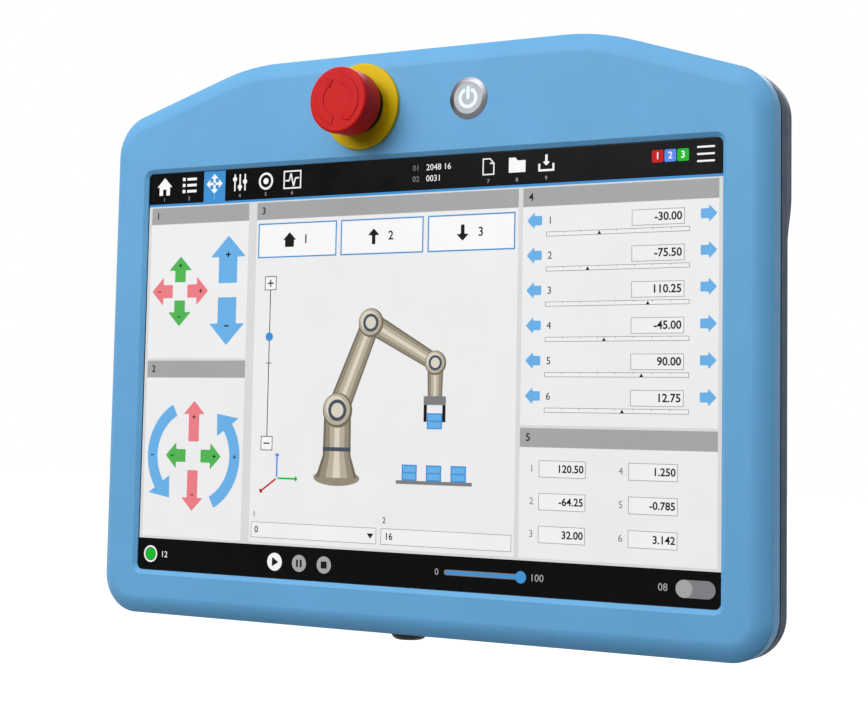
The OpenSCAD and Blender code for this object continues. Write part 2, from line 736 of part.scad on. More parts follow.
// Flat ribbon from the display panel, through the chassis and on to the main board
module display_ribbon() color([0.85, 0.60, 0.25]) to_hanger() translate([ribbon_x - ribbon_w / 2, 0, 0]) {
    translate([0, chassis_y, ribbon_z]) cube([ribbon_w, parts_y + 1.4 - chassis_y, ribbon_t]);
    translate([0, parts_y + 1, ribbon_z]) cube([ribbon_w, ribbon_t, board_z - board_h / 2 + 1 - ribbon_z]);
}

// Round lead swept along a curve from its first point to its last, pulled by the two between
function curve_at(p, t) = pow(1 - t, 3) * p[0] + 3 * pow(1 - t, 2) * t * p[1]
    + 3 * (1 - t) * t * t * p[2] + pow(t, 3) * p[3];

function direction_at(p, t) =
    let (d = pow(1 - t, 2) * (p[1] - p[0]) + 2 * (1 - t) * t * (p[2] - p[1]) + t * t * (p[3] - p[2]))
    d / norm(d);

module lead(p, r, steps = 12, sides = 10) {
    rings = [for (i = [0 : steps])
        let (t = i / steps, d = direction_at(p, t), u = [1, 0, 0] - d[0] * d, v = cross(d, u / norm(u)))
        for (k = [0 : sides - 1]) curve_at(p, t)
            + r * (cos(360 * k / sides) * u / norm(u) + sin(360 * k / sides) * v)];
    skin = [for (i = [0 : steps - 1], k = [0 : sides - 1])
        let (a = i * sides + k, b = i * sides + (k + 1) % sides)
        each [[a, b + sides, b], [a, a + sides, b + sides]]];
    polyhedron(points = rings, faces = concat([[for (k = [0 : sides - 1]) k]], skin,
        [[for (k = [sides - 1 : -1 : 0]) steps * sides + k]]));
}

module stop_disc() color([0.85, 0.71, 0.15]) to_hanger() at_stop() turned([
    [stop_barrel_r + fit, 0], [stop_disc_r, 0], [stop_disc_r, disc_bevel - stop_disc_t],
    [stop_disc_r - disc_bevel, -stop_disc_t], [stop_barrel_r + fit, -stop_disc_t]]);

module stop_bushing() color([0.06, 0.06, 0.06]) to_hanger() at_stop() turned([
    [stop_shaft_r + fit, collar_y], [stop_collar_r - 0.5, collar_y], [stop_collar_r, collar_y + 0.5],
    [stop_collar_r, -stop_disc_t], [stop_barrel_r, -stop_disc_t], [stop_barrel_r, stop_barrel_end],
    [stop_shaft_r + fit, stop_barrel_end]]);

module stop_nut() color([0.12, 0.12, 0.12]) to_hanger() at_stop() difference() {
    hex_rod(stop_barrel_r + nut_margin, front_wall, front_wall + stop_nut_t);
    rod(stop_barrel_r + fit, front_wall - 1, front_wall + stop_nut_t + 1);
}

module stop_contact_block() color([0.85, 0.30, 0.20]) to_hanger() at_stop() difference() {
    union() {
        slab(stop_barrel_end, stop_block_end) rounded_rect(stop_block_w, stop_block_w, 2);
        slab(stop_barrel_end + 4, stop_block_end - 4) rounded_rect(stop_block_w + 2, stop_block_w - 6, 1);
    }
    rod(stop_flange_r + 2 * gap, stop_barrel_end - 1, stop_block_end - block_floor_t);
}

module stop_terminals() color([0.80, 0.66, 0.30]) to_hanger() at_stop()
    for (i = [-1.5 : 1.5])
        translate([i * terminal_pitch - terminal_w / 2, lead_y - 1.2, -stop_block_w / 2 - terminal_l])
            cube([terminal_w, 2.4, terminal_l]);

// Sliding shaft: a tip in the head, a running length in the bushing, a stop flange and a pusher
module stop_shaft() color([0.90, 0.90, 0.88]) to_hanger() at_stop() turned([
    [0, head_bore_y + gap], [stop_tip_r, head_bore_y + gap], [stop_tip_r, collar_y - 1],
    [stop_shaft_r, collar_y - 0.5], [stop_shaft_r, stop_barrel_end + gap],
    [stop_flange_r, stop_barrel_end + gap], [stop_flange_r, stop_barrel_end + gap + stop_flange_t],
    [stop_pusher_r, stop_barrel_end + gap + stop_flange_t], [stop_pusher_r, stop_pusher_y],
    [0, stop_pusher_y]]);

// Curved arrow that shows which way the head turns, clockwise from the front
module turn_arrow() polygon(concat(
    arc([0, 0], arrow_r + arrow_w / 2, arrow_back, arrow_neck, 12),
    [for (p = [[arrow_r + arrow_head_w / 2, arrow_neck], [arrow_r, arrow_tip],
            [arrow_r - arrow_head_w / 2, arrow_neck]])
        [p[0] * cos(p[1]), p[0] * sin(p[1])]],
    arc([0, 0], arrow_r - arrow_w / 2, arrow_neck, arrow_back, 12)));

module stop_head() color([0.80, 0.15, 0.15]) to_hanger() at_stop() {
    turned(concat(
        [[0, head_bore_y], [0, -stop_reach]],
        [for (i = [0 : 5]) let (a = 90 - 18 * i)
            [stop_head_r - head_round * (1 - cos(a)), -stop_reach + head_round * (1 - sin(a))]],
        [[stop_head_r - head_taper, head_skirt_y], [stop_collar_r + gap, head_skirt_y],
         [stop_collar_r + gap, head_ceiling_y], [stop_tip_r + fit, head_ceiling_y],
         [stop_tip_r + fit, head_bore_y]]));
    slab(-stop_reach - arrow_h, -stop_reach + eps) for (turn = [0, 180]) rotate(turn) turn_arrow();
}

module stop_lead() color([0.75, 0.10, 0.10]) to_hanger() {
    start_z = button_z - stop_block_w / 2 - terminal_l;
    lead([[-stop_x, lead_y, start_z], [-stop_x, lead_y, start_z - lead_bend],
        [stop_socket_x, lead_y, lead_end_z + lead_bend], [stop_socket_x, lead_y, lead_end_z]], lead_r);
}

module power_ring() color([0.80, 0.81, 0.83]) to_hanger() at_power() turned([
    [power_cap_r + fit, -power_ring_h], [power_cap_r + fit + power_lip, -power_ring_h],
    [power_ring_r, -0.2], [power_ring_r, 0], [power_barrel_r, 0], [power_barrel_r, power_barrel_end],
    [power_stem_r + gap, power_barrel_end], [power_stem_r + gap, power_step_y],
    [power_cap_r + fit, power_step_y]]);

module power_nut() color([0.75, 0.76, 0.78]) to_hanger() at_power() difference() {
    hex_rod(power_barrel_r + nut_margin, front_wall, front_wall + power_nut_t);
    rod(power_barrel_r + fit, front_wall - 1, front_wall + power_nut_t + 1);
}

module power_switch_body() color([0.08, 0.08, 0.09]) to_hanger() at_power() difference() {
    rod(power_barrel_r, power_barrel_end, power_depth);
    rod(power_stem_r + gap, power_barrel_end - eps, power_well_end);
}

module power_cap() color([0.78, 0.79, 0.80]) to_hanger() at_power() difference() {
    turned([[0, power_face_y], [power_cap_r - 0.3, power_face_y], [power_cap_r, power_face_y + 0.3],
        [power_cap_r, power_step_y - power_travel - 0.5], [power_stem_r, power_step_y - power_travel - 0.5],
        [power_stem_r, power_barrel_end + 1], [0, power_barrel_end + 1]]);
    slab(power_face_y - eps, power_face_y + symbol_t) symbol_shape();
}

// Open ring with round ends and an upright bar
module symbol_shape() {
    difference() {
        circle(symbol_r);
        circle(symbol_r - symbol_w);
        polygon([[0, 0], for (a = [-symbol_gap, 0, symbol_gap]) 2 * symbol_r * [sin(a), cos(a)]]);
    }
    for (a = [-symbol_gap, symbol_gap]) rotate(a) translate([0, symbol_r - symbol_w / 2]) circle(symbol_w / 2);
    translate([0, symbol_r / 2]) rounded_rect(symbol_w, symbol_r + symbol_w, symbol_w / 2 - eps);
}

module power_symbol() color([0.92, 0.98, 1.00]) to_hanger() at_power()
    slab(power_face_y, power_face_y + symbol_t) symbol_shape();

module power_lead() color([0.15, 0.15, 0.70]) to_hanger() lead([
    [power_x, power_depth, button_z], [power_x, power_depth + 4 * lead_r, button_z],
    [power_x, lead_y, lead_end_z + 1.2 * lead_bend], [power_x, lead_y, lead_end_z]], lead_r);

module data_socket() color([0.76, 0.77, 0.79]) to_hanger() translate([-half_w + cap_t + gap, port_y, port_z])
    difference() {
        translate([0, -port_t / 2, -port_w / 2]) cube([port_l, port_t, port_w]);
        translate([-eps, port_shell_t - port_t / 2, port_shell_t - port_w / 2])
            cube([port_l - tongue_set_back + eps, port_t - 2 * port_shell_t, port_w - 2 * port_shell_t]);
    }

module data_socket_tongue() color([0.10, 0.10, 0.12]) to_hanger()
    translate([-half_w + cap_t + gap + tongue_set_back, port_y - tongue_t, port_z - tongue_w / 2])
        cube([port_l - 2 * tongue_set_back, tongue_t, tongue_w]);

module port_board() color([0.05, 0.32, 0.18]) to_hanger()
    translate([-half_w + wall + 3, standoff_y, port_z - port_w / 2 - port_board_border])
        cube([port_l, port_y - port_t / 2 - standoff_y, port_w + 2 * port_board_border]);

// Rubber cap over the data port, turning on a pin at its lower end
module port_cap() color([0.10, 0.10, 0.11]) to_hanger() translate([-half_w, port_y, port_z]) difference() {
    union() {
        translate([0, -cap_w / 2, cap_hinge_z]) cube([cap_t, cap_w, cap_h / 2 - cap_hinge_z]);
        translate([cap_hinge_x, 0, cap_hinge_z]) rotate([90, 0, 0])
            cylinder(r = cap_t / 2, h = cap_w, center = true);
    }
    translate([cap_hinge_x, 0, cap_hinge_z]) rotate([90, 0, 0])
        cylinder(r = cap_pin_r + fit, h = cap_w + 1, center = true);
}

module port_cap_pin() color([0.80, 0.80, 0.80]) to_hanger()
    translate([-half_w + cap_hinge_x, port_y, port_z + cap_hinge_z]) rotate([90, 0, 0])
        cylinder(r = cap_pin_r, h = cap_w + 2 * gap + 2 * cap_pin_seat, center = true);

// Gland with a domed nose below the casing and a threaded barrel through its wall
module cable_gland() color([0.05, 0.05, 0.05]) to_hanger() translate([-gland_x, gland_y, bottom_z])
    rotate_extrude() polygon(concat(
        [[gland_bore_r, gland_barrel_h], [gland_bore_r, -gland_nose_h]],
        [for (i = [0 : 6]) let (a = 15 * i)
            [gland_bore_r + 1 + (gland_nose_r - gland_bore_r - 1) * sin(a), -gland_nose_h * cos(a)]],
        [[gland_barrel_r, 0], [gland_barrel_r, gland_barrel_h]]));

module gland_nut() color([0.08, 0.08, 0.08]) to_hanger() translate([-gland_x, gland_y, bottom_z + wall])
    difference() {
        cylinder(r = gland_nut_r, h = gland_nut_h, $fn = 6);
        translate([0, 0, -eps]) cylinder(r = gland_barrel_r + fit, h = gland_nut_h + 1);
    }

// Ribbed rubber pad for the fingers, seated in its recess
module grip_pad(side) color([0.09, 0.09, 0.10]) to_hanger() translate([side * grip_x, 0, grip_z]) {
    slab(lower_depth - grip_recess, lower_depth + grip_proud)
        rounded_rect(grip_w - gap, grip_h - gap, grip_r);
    for (i = [-(grip_ribs - 1) / 2 : (grip_ribs - 1) / 2])
        translate([0, 0, i * (grip_h - 2 * grip_r) / (grip_ribs - 1)])
            slab(lower_depth, lower_depth + grip_rib_h) rounded_rect(grip_w - 2 * grip_rib_inset, grip_rib_w, 1.4);
}

module grip_pad_left() grip_pad(-1);

module grip_pad_right() grip_pad(1);

front_cover();
rear_cover();
casing_seal();
casing_screws();
glass_gasket();
touch_glass();
foam_gasket();
display_panel();
chassis();
chassis_screws();
board_standoffs();
main_board();
board_screws();
processor();
heat_spreader();
board_parts();
board_connectors();
display_ribbon();
stop_disc();
stop_bushing();
stop_nut();
stop_contact_block();
stop_terminals();
stop_shaft();
stop_head();
stop_lead();
power_ring();
power_nut();
power_switch_body();
power_cap();
power_symbol();
power_lead();
data_socket();
data_socket_tongue();
port_board();
port_cap();
port_cap_pin();
cable_gland();
gland_nut();
grip_pad_left();
grip_pad_right();
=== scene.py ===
"""Looks of a handheld teach pendant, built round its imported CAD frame.

Lengths are in millimetres in the casing's own frame: x to the right, y into the casing from its
front face, z up from the middle of the window. place() turns them into the frame's metres.
"""
import math

import bmesh
import bpy
from mathutils import Matrix, Vector


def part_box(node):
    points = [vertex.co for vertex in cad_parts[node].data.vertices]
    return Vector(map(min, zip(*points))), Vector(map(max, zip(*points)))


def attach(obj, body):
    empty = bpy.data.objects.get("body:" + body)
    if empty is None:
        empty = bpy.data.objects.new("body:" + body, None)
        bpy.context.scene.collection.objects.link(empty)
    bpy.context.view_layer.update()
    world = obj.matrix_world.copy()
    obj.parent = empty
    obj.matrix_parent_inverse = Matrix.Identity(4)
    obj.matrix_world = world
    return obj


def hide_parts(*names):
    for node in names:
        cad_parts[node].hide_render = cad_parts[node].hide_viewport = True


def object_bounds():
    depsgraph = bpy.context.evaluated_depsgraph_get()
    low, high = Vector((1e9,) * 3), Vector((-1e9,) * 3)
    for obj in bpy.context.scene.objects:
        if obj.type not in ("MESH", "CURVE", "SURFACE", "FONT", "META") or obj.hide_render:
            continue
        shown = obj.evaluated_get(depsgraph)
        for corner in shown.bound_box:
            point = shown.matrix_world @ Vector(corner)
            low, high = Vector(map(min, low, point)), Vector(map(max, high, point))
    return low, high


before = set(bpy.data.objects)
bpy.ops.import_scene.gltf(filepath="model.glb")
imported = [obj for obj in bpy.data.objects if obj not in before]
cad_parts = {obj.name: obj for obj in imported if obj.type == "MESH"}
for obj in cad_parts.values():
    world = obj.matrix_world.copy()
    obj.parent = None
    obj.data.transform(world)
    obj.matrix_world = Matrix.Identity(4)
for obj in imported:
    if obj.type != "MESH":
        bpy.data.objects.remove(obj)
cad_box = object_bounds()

MM = 0.001
GLASS_LOW, GLASS_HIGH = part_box("touch_glass")
ORIGIN = Vector((0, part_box("front_cover")[0].y, (GLASS_LOW.z + GLASS_HIGH.z) / 2))


def place(x, y, z):
    return ORIGIN + Vector((x, y, z)) * MM


def span(node):
    """Lowest and highest corner of a CAD node, in millimetres in the casing's frame."""
    return tuple((corner - ORIGIN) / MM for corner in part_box(node))


# Casing, as the CAD has it
FRONT_LOW, FRONT_HIGH = span("front_cover")
REAR_LOW, REAR_HIGH = span("rear_cover")
HALF_W = FRONT_HIGH.x
TOP_Z = FRONT_HIGH.z
BOTTOM_Z = FRONT_LOW.z
PARTING_Y = REAR_LOW.y
PAD_RECESS = 1               # depth of the recesses that the grip pads lie in
UPPER_DEPTH = REAR_HIGH.y    # back of the thick upper part
LOWER_DEPTH = span("grip_pad_left")[0].y + PAD_RECESS
SHOULDER_X = 80.5            # where the lines of the top and of the sloping shoulder meet
SHOULDER_ANGLE = math.radians(17.5)
SHOULDER_R = 95
TOP_CORNER_R = 18
BOTTOM_CORNER_R = 16
BORDER_W = 7.5
BORDER_D = 3.3
BORDER_CREASE = 0.10         # share of the border's slope that it has at the face
BORDER_POWER = 1.90          # how the border steepens towards the side
BORDER_END = ((-0.18, 0.27), (-0.02, 0.11), (0.12, 0.03), (0.25, 0))    # small rounding: (depth, inset)
LOWER_SIDE = 16.3            # depth where the rear cover's side starts to round
UPPER_SIDE = 21              # the same on the thick part
UPPER_DRAFT = 0.5
RUN_OUT = 20                 # length of the thick part's run-out below its edge
RUN_OUT_Y = 25
REAR_ROUND_W = 12
UPPER_EDGE_Z = TOP_Z - 80.2
WALL = 3
REAR_WALL = 2.5
SHADOW_GAP = 0.5
SHADOW_DEPTH = 0.7
GLASS_LAP = 6                # how far the glass reaches behind the window's rim
GLASS_PLAY = 0.5
WINDOW_W = (GLASS_HIGH.x - GLASS_LOW.x) / MM - 2 * GLASS_LAP
WINDOW_H = (GLASS_HIGH.z - GLASS_LOW.z) / MM - 2 * GLASS_LAP
WINDOW_R = 2.5
WINDOW_BEVEL = 1.25          # depth of the window's bevel
WINDOW_BEVEL_W = 1.9
RIM = 1.6                    # thickness of the rim in front of the glass
GLASS_Y = span("touch_glass")[0].y
STOP_HOLE_R = 8.05
POWER_HOLE_R = 7.05
BLOCK_W, BLOCK_H, BLOCK_R = 79, 26, 3          # block that holds the hanger slot
SLOT_W, SLOT_H, SLOT_DEPTH = 70, 12.01, 4.5
PAD_W, PAD_H, PAD_R = 34, 92, 8
SCREW_WELL_R = 3.1
SCREW_WELL_FLOOR = 6         # depth of the wells' floor past the parting line
GLAND_BOSS_H = 17            # straight part of the boss round the gland
GLAND_BOSS_TOP = 25.5
PORT_GAP = 0.3               # gap round the port's cap
SOCKET_GAP = 0.05
SCOOP_R = 2.6                # finger scoop above the port's cap
CUT = 1                      # reach of a cutting tool past the face it cuts


def middle(node):
    low, high = span(node)
    return (low.x + high.x) / 2, (low.z + high.z) / 2


def extent(node):
    """Radius, front and back of a node that is round about an axis along y."""
    low, high = span(node)
    return (high.x - low.x) / 2, low.y, high.y


# ---- outlines

def polar(x, z, r, degrees):
    turn = math.radians(degrees)
    return x + r * math.cos(turn), z + r * math.sin(turn)


def arc(x, z, r, start, end, steps):
    return [polar(x, z, r, start + (end - start) * i / steps) for i in range(steps + 1)]


def circle(x, z, r, steps):
    turns = [2 * math.pi * i / steps for i in range(steps)]
    return [(x + r * math.cos(t), z + r * math.sin(t)) for t in turns]


def quarter(steps):
    """Angles from 0 to a quarter turn."""
    return [math.pi / 2 * i / steps for i in range(steps + 1)]


def outline(inset, low_z=BOTTOM_Z, steps=14):
    """Outline of the casing, counter-clockwise from the front, set in by an inset."""
    tilt = math.degrees(SHOULDER_ANGLE)
    corner_x = HALF_W - TOP_CORNER_R
    corner_z = (TOP_Z - (corner_x - SHOULDER_X) * math.tan(SHOULDER_ANGLE)
                - TOP_CORNER_R / math.cos(SHOULDER_ANGLE))
    shoulder = SHOULDER_X - SHOULDER_R * math.tan(SHOULDER_ANGLE / 2)
    half = (arc(HALF_W - BOTTOM_CORNER_R, low_z + BOTTOM_CORNER_R, BOTTOM_CORNER_R - inset, -90, 0, steps)
            + arc(corner_x, corner_z, TOP_CORNER_R - inset, 0, 90 - tilt, steps)
            + arc(shoulder, TOP_Z - SHOULDER_R, SHOULDER_R - inset, 90 - tilt, 90, 8))
    return half + [(-x, z) for x, z in reversed(half)]


def rounded_rect(x, z, w, h, r, steps=6):
    points = []
    for i, (sx, sz) in enumerate(((1, -1), (1, 1), (-1, 1), (-1, -1))):
        start = i * 90 - 90
        points += arc(x + sx * (w / 2 - r), z + sz * (h / 2 - r), r, start, start + 90, steps)
    return points


def rounding(side_y, face_y, width, inset=0, steps=14):
    """Rings of an edge rounding, as (depth, inset), from a side to a face."""
    return [(side_y + (face_y - side_y) * math.sin(a), inset + width * (1 - math.cos(a)))
            for a in quarter(steps)]


def border(depth, inset, steps=16):
    """Rings of the front border: a light crease, a slope that steepens, and a small rounding at the side."""
    shares = [i / steps for i in range(steps)]
    slope = [(BORDER_D * (BORDER_CREASE * t + (1 - BORDER_CREASE) * t ** BORDER_POWER), BORDER_W * (1 - t))
             for t in shares]
    end = [(BORDER_D + past, side) for past, side in BORDER_END]
    return [(depth + y, inset + side) for y, side in slope + end]


def thick_part(steps=10):
    """Rings of the thick part, as (depth, inset, drop); the drop lets its sides run out below."""
    shares = [i / steps for i in range(steps)]
    sides = [(LOWER_SIDE + (UPPER_SIDE - LOWER_SIDE) * t, UPPER_DRAFT * t) for t in shares]
    back = rounding(UPPER_SIDE, UPPER_DEPTH, REAR_ROUND_W - UPPER_DRAFT, UPPER_DRAFT, 20)
    reach = RUN_OUT_Y - LOWER_SIDE
    return [(y, inset, RUN_OUT * max(0, (RUN_OUT_Y - y) / reach) ** 1.2) for y, inset in sides + back]


# ---- meshes

def add_object(name, data):
    made = bpy.data.objects.new(name, data)
    bpy.context.scene.collection.objects.link(made)
    return made


def mesh_object(name, points, faces):
    mesh = bpy.data.meshes.new(name)
    mesh.from_pydata([place(*p) for p in points], [], faces)
    work = bmesh.new()
    work.from_mesh(mesh)
    bmesh.ops.recalc_face_normals(work, faces=work.faces)
    work.to_mesh(mesh)
    work.free()
    return add_object(name, mesh)


def skin(rings):
    """Closed surface over rings of as many points each; a ring of one point is a tip."""
    points, faces, starts = [], [], []
    for ring in rings:
        starts.append(len(points))
        points += ring
    for a, b, lower, upper in zip(starts, starts[1:], rings, rings[1:]):
        n = max(len(lower), len(upper))
        for i in range(n):
            j = (i + 1) % n
            corners = [a + i % len(lower), a + j % len(lower), b + j % len(upper), b + i % len(upper)]
            faces.append(list(dict.fromkeys(corners)))
    for start, ring in ((starts[0], rings[0]), (starts[-1], rings[-1])):
        if len(ring) > 1:
            faces.append(list(range(start, start + len(ring))))
    return points, faces


def at(y, points):
    """Ring of points at one depth."""
    return [(x, y, z) for x, z in points]


def solid(name, rings):
    return mesh_object(name, *skin(rings))


def loft(name, rings, low_z=BOTTOM_Z):
    """Skin over outlines given as (depth, inset) or (depth, inset, drop of the lower edge)."""
    full = [(ring + (0,))[:3] for ring in rings]
    return solid(name, [at(y, outline(inset, low_z - drop)) for y, inset, drop in full])


def prism(name, points, low_y, high_y):
    return solid(name, [at(low_y, points), at(high_y, points)])


def lathe(name, profile, x, z, steps=96, closed=True):
    """Turns a profile of (radius, depth) about an axis along y; a closed profile comes back to its start."""
    points, faces = skin([at(y, circle(x, z, r, steps) if r else [(x, z)]) for r, y in profile])
    if closed:
        faces = [f for f in faces if len(f) <= 4]
        last = len(points) - steps
        faces += [[i, (i + 1) % steps, last + (i + 1) % steps, last + i] for i in range(steps)]
    return mesh_object(name, points, faces)


def bore(x, z, r, low_y, high_y, steps=64):
    return lathe("bore", [(0, low_y), (r, low_y), (r, high_y), (0, high_y)], x, z, steps, closed=False)


def upright(rings, x, y, steps):
    """Rings of (radius, z) about an axis along z."""
    return [[(px, py, z) for px, py in circle(x, y, r, steps)] for r, z in rings]


def box(name, low, high):
    (x0, y0, z0), (x1, y1, z1) = low, high
    return prism(name, [(x0, z0), (x1, z0), (x1, z1), (x0, z1)], y0, y1)


def settle(piece):
    """Applies the piece's modifiers."""
    evaluated = piece.evaluated_get(bpy.context.evaluated_depsgraph_get())
    piece.data = bpy.data.meshes.new_from_object(evaluated)
    piece.modifiers.clear()


def combine(piece, operation, tools):
    for tool in tools:
        modifier = piece.modifiers.new(operation, "BOOLEAN")
        modifier.operation = operation
        modifier.solver = "EXACT"
        modifier.object = tool
        settle(piece)
        bpy.data.objects.remove(tool)
    return piece


def fit(piece, material, body, slot, *nodes, smooth=32, weigh=False):
    """Gives a piece its finish and its place in the frame; weigh keeps large flat faces evenly lit."""
    piece.data.materials.clear()
    piece.data.materials.append(material)
    piece.data.shade_smooth()
    piece.data.set_sharp_from_angle(angle=math.radians(smooth))
    if weigh:
        normals = piece.modifiers.new("normals", "WEIGHTED_NORMAL")
        normals.keep_sharp = True
        settle(piece)
    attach(piece, body)
    if nodes:
        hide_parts(*nodes)
    return piece


# ---- materials

def linear(*colour):
    """Linear light of a colour given in 0 to 255."""
    values = [c / 255 for c in colour]
    return tuple(v / 12.92 if v <= 0.04045 else ((v + 0.055) / 1.055) ** 2.4 for v in values)


def feed(tree, socket, value):
    """Links another node's output to a socket, or writes a plain value into it."""
    if isinstance(value, bpy.types.NodeSocket):
        tree.links.new(value, socket)
    else:
        socket.default_value = value


def add_node(tree, kind, *values, operation=None, **inputs):
    """Adds a shader node; values go to its first inputs in turn, the others to inputs by their name."""
    made = tree.nodes.new("ShaderNode" + kind)
    if operation:
        made.operation = operation
    for socket, value in zip(made.inputs, values):
        feed(tree, socket, value)
    for name, value in inputs.items():
        feed(tree, made.inputs[name.replace("_", " ")], value)
    return made


class Finish:
    """A material whose colour, roughness and relief come from noise in the part's own frame."""

    def __init__(self, name, colour, roughness, metallic=0.0, specular=0.5):
        self.material = bpy.data.materials.new(name)
        self.material.use_nodes = True
        self.tree = self.material.node_tree
        self.shader = self.tree.nodes["Principled BSDF"]
        self.colour = linear(*colour)
        self.shader.inputs["Metallic"].default_value = metallic
        self.shader.inputs["Specular IOR Level"].default_value = specular
        self.place = self.node("TexCoord").outputs["Object"]
        self.roughness = roughness
        self.material.diffuse_color = (*self.colour, 1)

    def node(self, kind, *values, **settings):
        return add_node(self.tree, kind, *values, **settings)

    def noise(self, size, detail=2.0, vector=None):
        """Noise whose patches are about size millimetres across."""
        made = self.node("TexNoise", Vector=vector or self.place, Scale=1 / (size * MM), Detail=detail)
        return made.outputs["Fac"]

    def ramp(self, value, low, high):
        """Spreads the middle of a noise's values from low to high."""
        made = self.node("MapRange", Value=value, From_Min=0.3, From_Max=0.7, To_Min=low, To_Max=high)
        return made.outputs["Result"]

    def paint(self, share, first, second):
        """Base colour that goes from the first colour to the second by a share."""
        mix = self.node("Mix", share)
        mix.data_type = "RGBA"
        colours = [socket for socket in mix.inputs if socket.type == "RGBA"]
        for socket, colour in zip(colours, (first, second)):
            feed(self.tree, socket, colour)
        mixed = [socket for socket in mix.outputs if socket.type == "RGBA"][0]
        self.tree.links.new(mixed, self.shader.inputs["Base Color"])

    def mottle(self, size, depth, vector=None):
        """Colour that varies a little in patches."""
        dark = tuple(c * (1 - depth) for c in self.colour)
        light = tuple(min(1, c * (1 + depth)) for c in self.colour)
        self.paint(self.ramp(self.noise(size, 3, vector), 0, 1), (*dark, 1), (*light, 1))
        return self

    def reach(self, x, z):
        """Distance from an axis along y, in metres."""
        offset = self.node("VectorMath", self.place, place(x, 0, z), operation="SUBTRACT").outputs["Vector"]
        parts = self.node("SeparateXYZ", Vector=offset).outputs
        flat = self.node("CombineXYZ", X=parts["X"], Z=parts["Z"]).outputs["Vector"]
        return self.node("VectorMath", flat, operation="LENGTH").outputs["Value"]

    def sheen(self, size, spread, vector=None):
        """Roughness that varies in patches."""
        value = self.ramp(self.noise(size, 2, vector), self.roughness - spread, self.roughness + spread)
        self.tree.links.new(value, self.shader.inputs["Roughness"])
        return self

    def relief(self, size, depth, strength=0.5, vector=None):
        """Fine grain, depth millimetres high."""
        bump = self.node("Bump", Strength=strength, Distance=depth * MM, Height=self.noise(size, 2, vector))
        self.tree.links.new(bump.outputs["Normal"], self.shader.inputs["Normal"])
        return self


def plastic(name, colour, roughness=0.5, grain=0.35, specular=0.4):
    return (Finish(name, colour, roughness, specular=specular)
            .mottle(30, 0.03).sheen(6, 0.05).relief(grain, 0.02).material)


def rubber(name, colour):
    return Finish(name, colour, 0.75, specular=0.3).mottle(5, 0.12).sheen(2, 0.06).relief(0.25, 0.04).material


def metal(name, colour, roughness=0.32):
    return (Finish(name, colour, roughness, metallic=1.0)
            .mottle(3, 0.06).sheen(1.2, 0.06).relief(0.3, 0.008).material)


def turned_metal(name, colour, roughness, x, z):
    """Metal with fine rings left by turning about an axis along y."""
    finish = Finish(name, colour, roughness, metallic=1.0)
    rings = finish.node("CombineXYZ", X=finish.reach(x, z)).outputs["Vector"]
    return finish.mottle(0.12, 0.10, rings).sheen(0.2, 0.06, rings).relief(0.1, 0.006, vector=rings).material


def lit(name, colour, share=0.7, specular=0.04):
    """Part of the lit display: most of its colour is its own light."""
    finish = Finish(name, colour, 0.25, specular=specular)
    own = finish.colour
    finish.colour = tuple(c * (1 - share) for c in own)
    finish.mottle(25, 0.05).sheen(12, 0.08)
    finish.shader.inputs["Emission Color"].default_value = (*own, 1)
    finish.shader.inputs["Emission Strength"].default_value = share
    return finish.material


# ---- casing

def screw_places():
    """Middles of the casing screws, which are separate solids of one node."""
    work = bmesh.new()
    work.from_mesh(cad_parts["casing_screws"].data)
    bmesh.ops.remove_doubles(work, verts=work.verts, dist=1e-6)
    left = set(work.verts)
    places = []
    while left:
        edge, spots = [left.pop()], []
        while edge:
            vertex = edge.pop()
            spots.append((vertex.co - ORIGIN) / MM)
            reached = {line.other_vert(vertex) for line in vertex.link_edges} & left
            left -= reached
            edge += reached
        xs, zs = [spot.x for spot in spots], [spot.z for spot in spots]
        places.append(((min(xs) + max(xs)) / 2, (min(zs) + max(zs)) / 2))
    work.free()
    return sorted(places)


def make_front_cover(material):
    cover = loft("front_cover_shell", border(0, 0) + [(PARTING_Y, 0)])
    hollow = loft("hollow", border(WALL, WALL) + [(PARTING_Y + CUT, WALL)])
    bevel = [(-CUT, WINDOW_BEVEL_W), (0, WINDOW_BEVEL_W), (0.06, WINDOW_BEVEL_W - 0.2),
             (WINDOW_BEVEL - 0.12, 0.16), (WINDOW_BEVEL, 0.03), (WINDOW_BEVEL + 0.1, 0), (RIM + CUT, 0)]
    window = solid("window", [
        at(y, rounded_rect(0, 0, WINDOW_W + 2 * out, WINDOW_H + 2 * out, WINDOW_R + out))
        for y, out in bevel])
    lap = 2 * (GLASS_LAP + GLASS_PLAY)
    pocket = prism("pocket", rounded_rect(0, 0, WINDOW_W + lap, WINDOW_H + lap, 3), RIM, WALL + CUT)
    holes = [bore(*middle(node), r, -CUT, WALL + CUT)
             for node, r in (("stop_disc", STOP_HOLE_R), ("power_ring", POWER_HOLE_R))]
    combine(cover, "DIFFERENCE", [hollow, window, pocket] + holes)
    return fit(cover, material, "housing", "blue_cover", "front_cover", weigh=True)


def gland_boss():
    low, high = span("cable_gland")
    x, y = middle("cable_gland")[0], (low.y + high.y) / 2
    r = (high.x - low.x) / 2 + REAR_WALL - 0.1
    rings = [(r, BOTTOM_Z), (r, BOTTOM_Z + GLAND_BOSS_H), (LOWER_DEPTH - y - 1, BOTTOM_Z + GLAND_BOSS_TOP)]
    boss = solid("boss", upright(rings, x, y, 64))
    trim = box("trim", (x - 20, 0, BOTTOM_Z - 1), (x + 20, PARTING_Y + SHADOW_GAP, BOTTOM_Z + 40))
    return combine(boss, "DIFFERENCE", [trim])


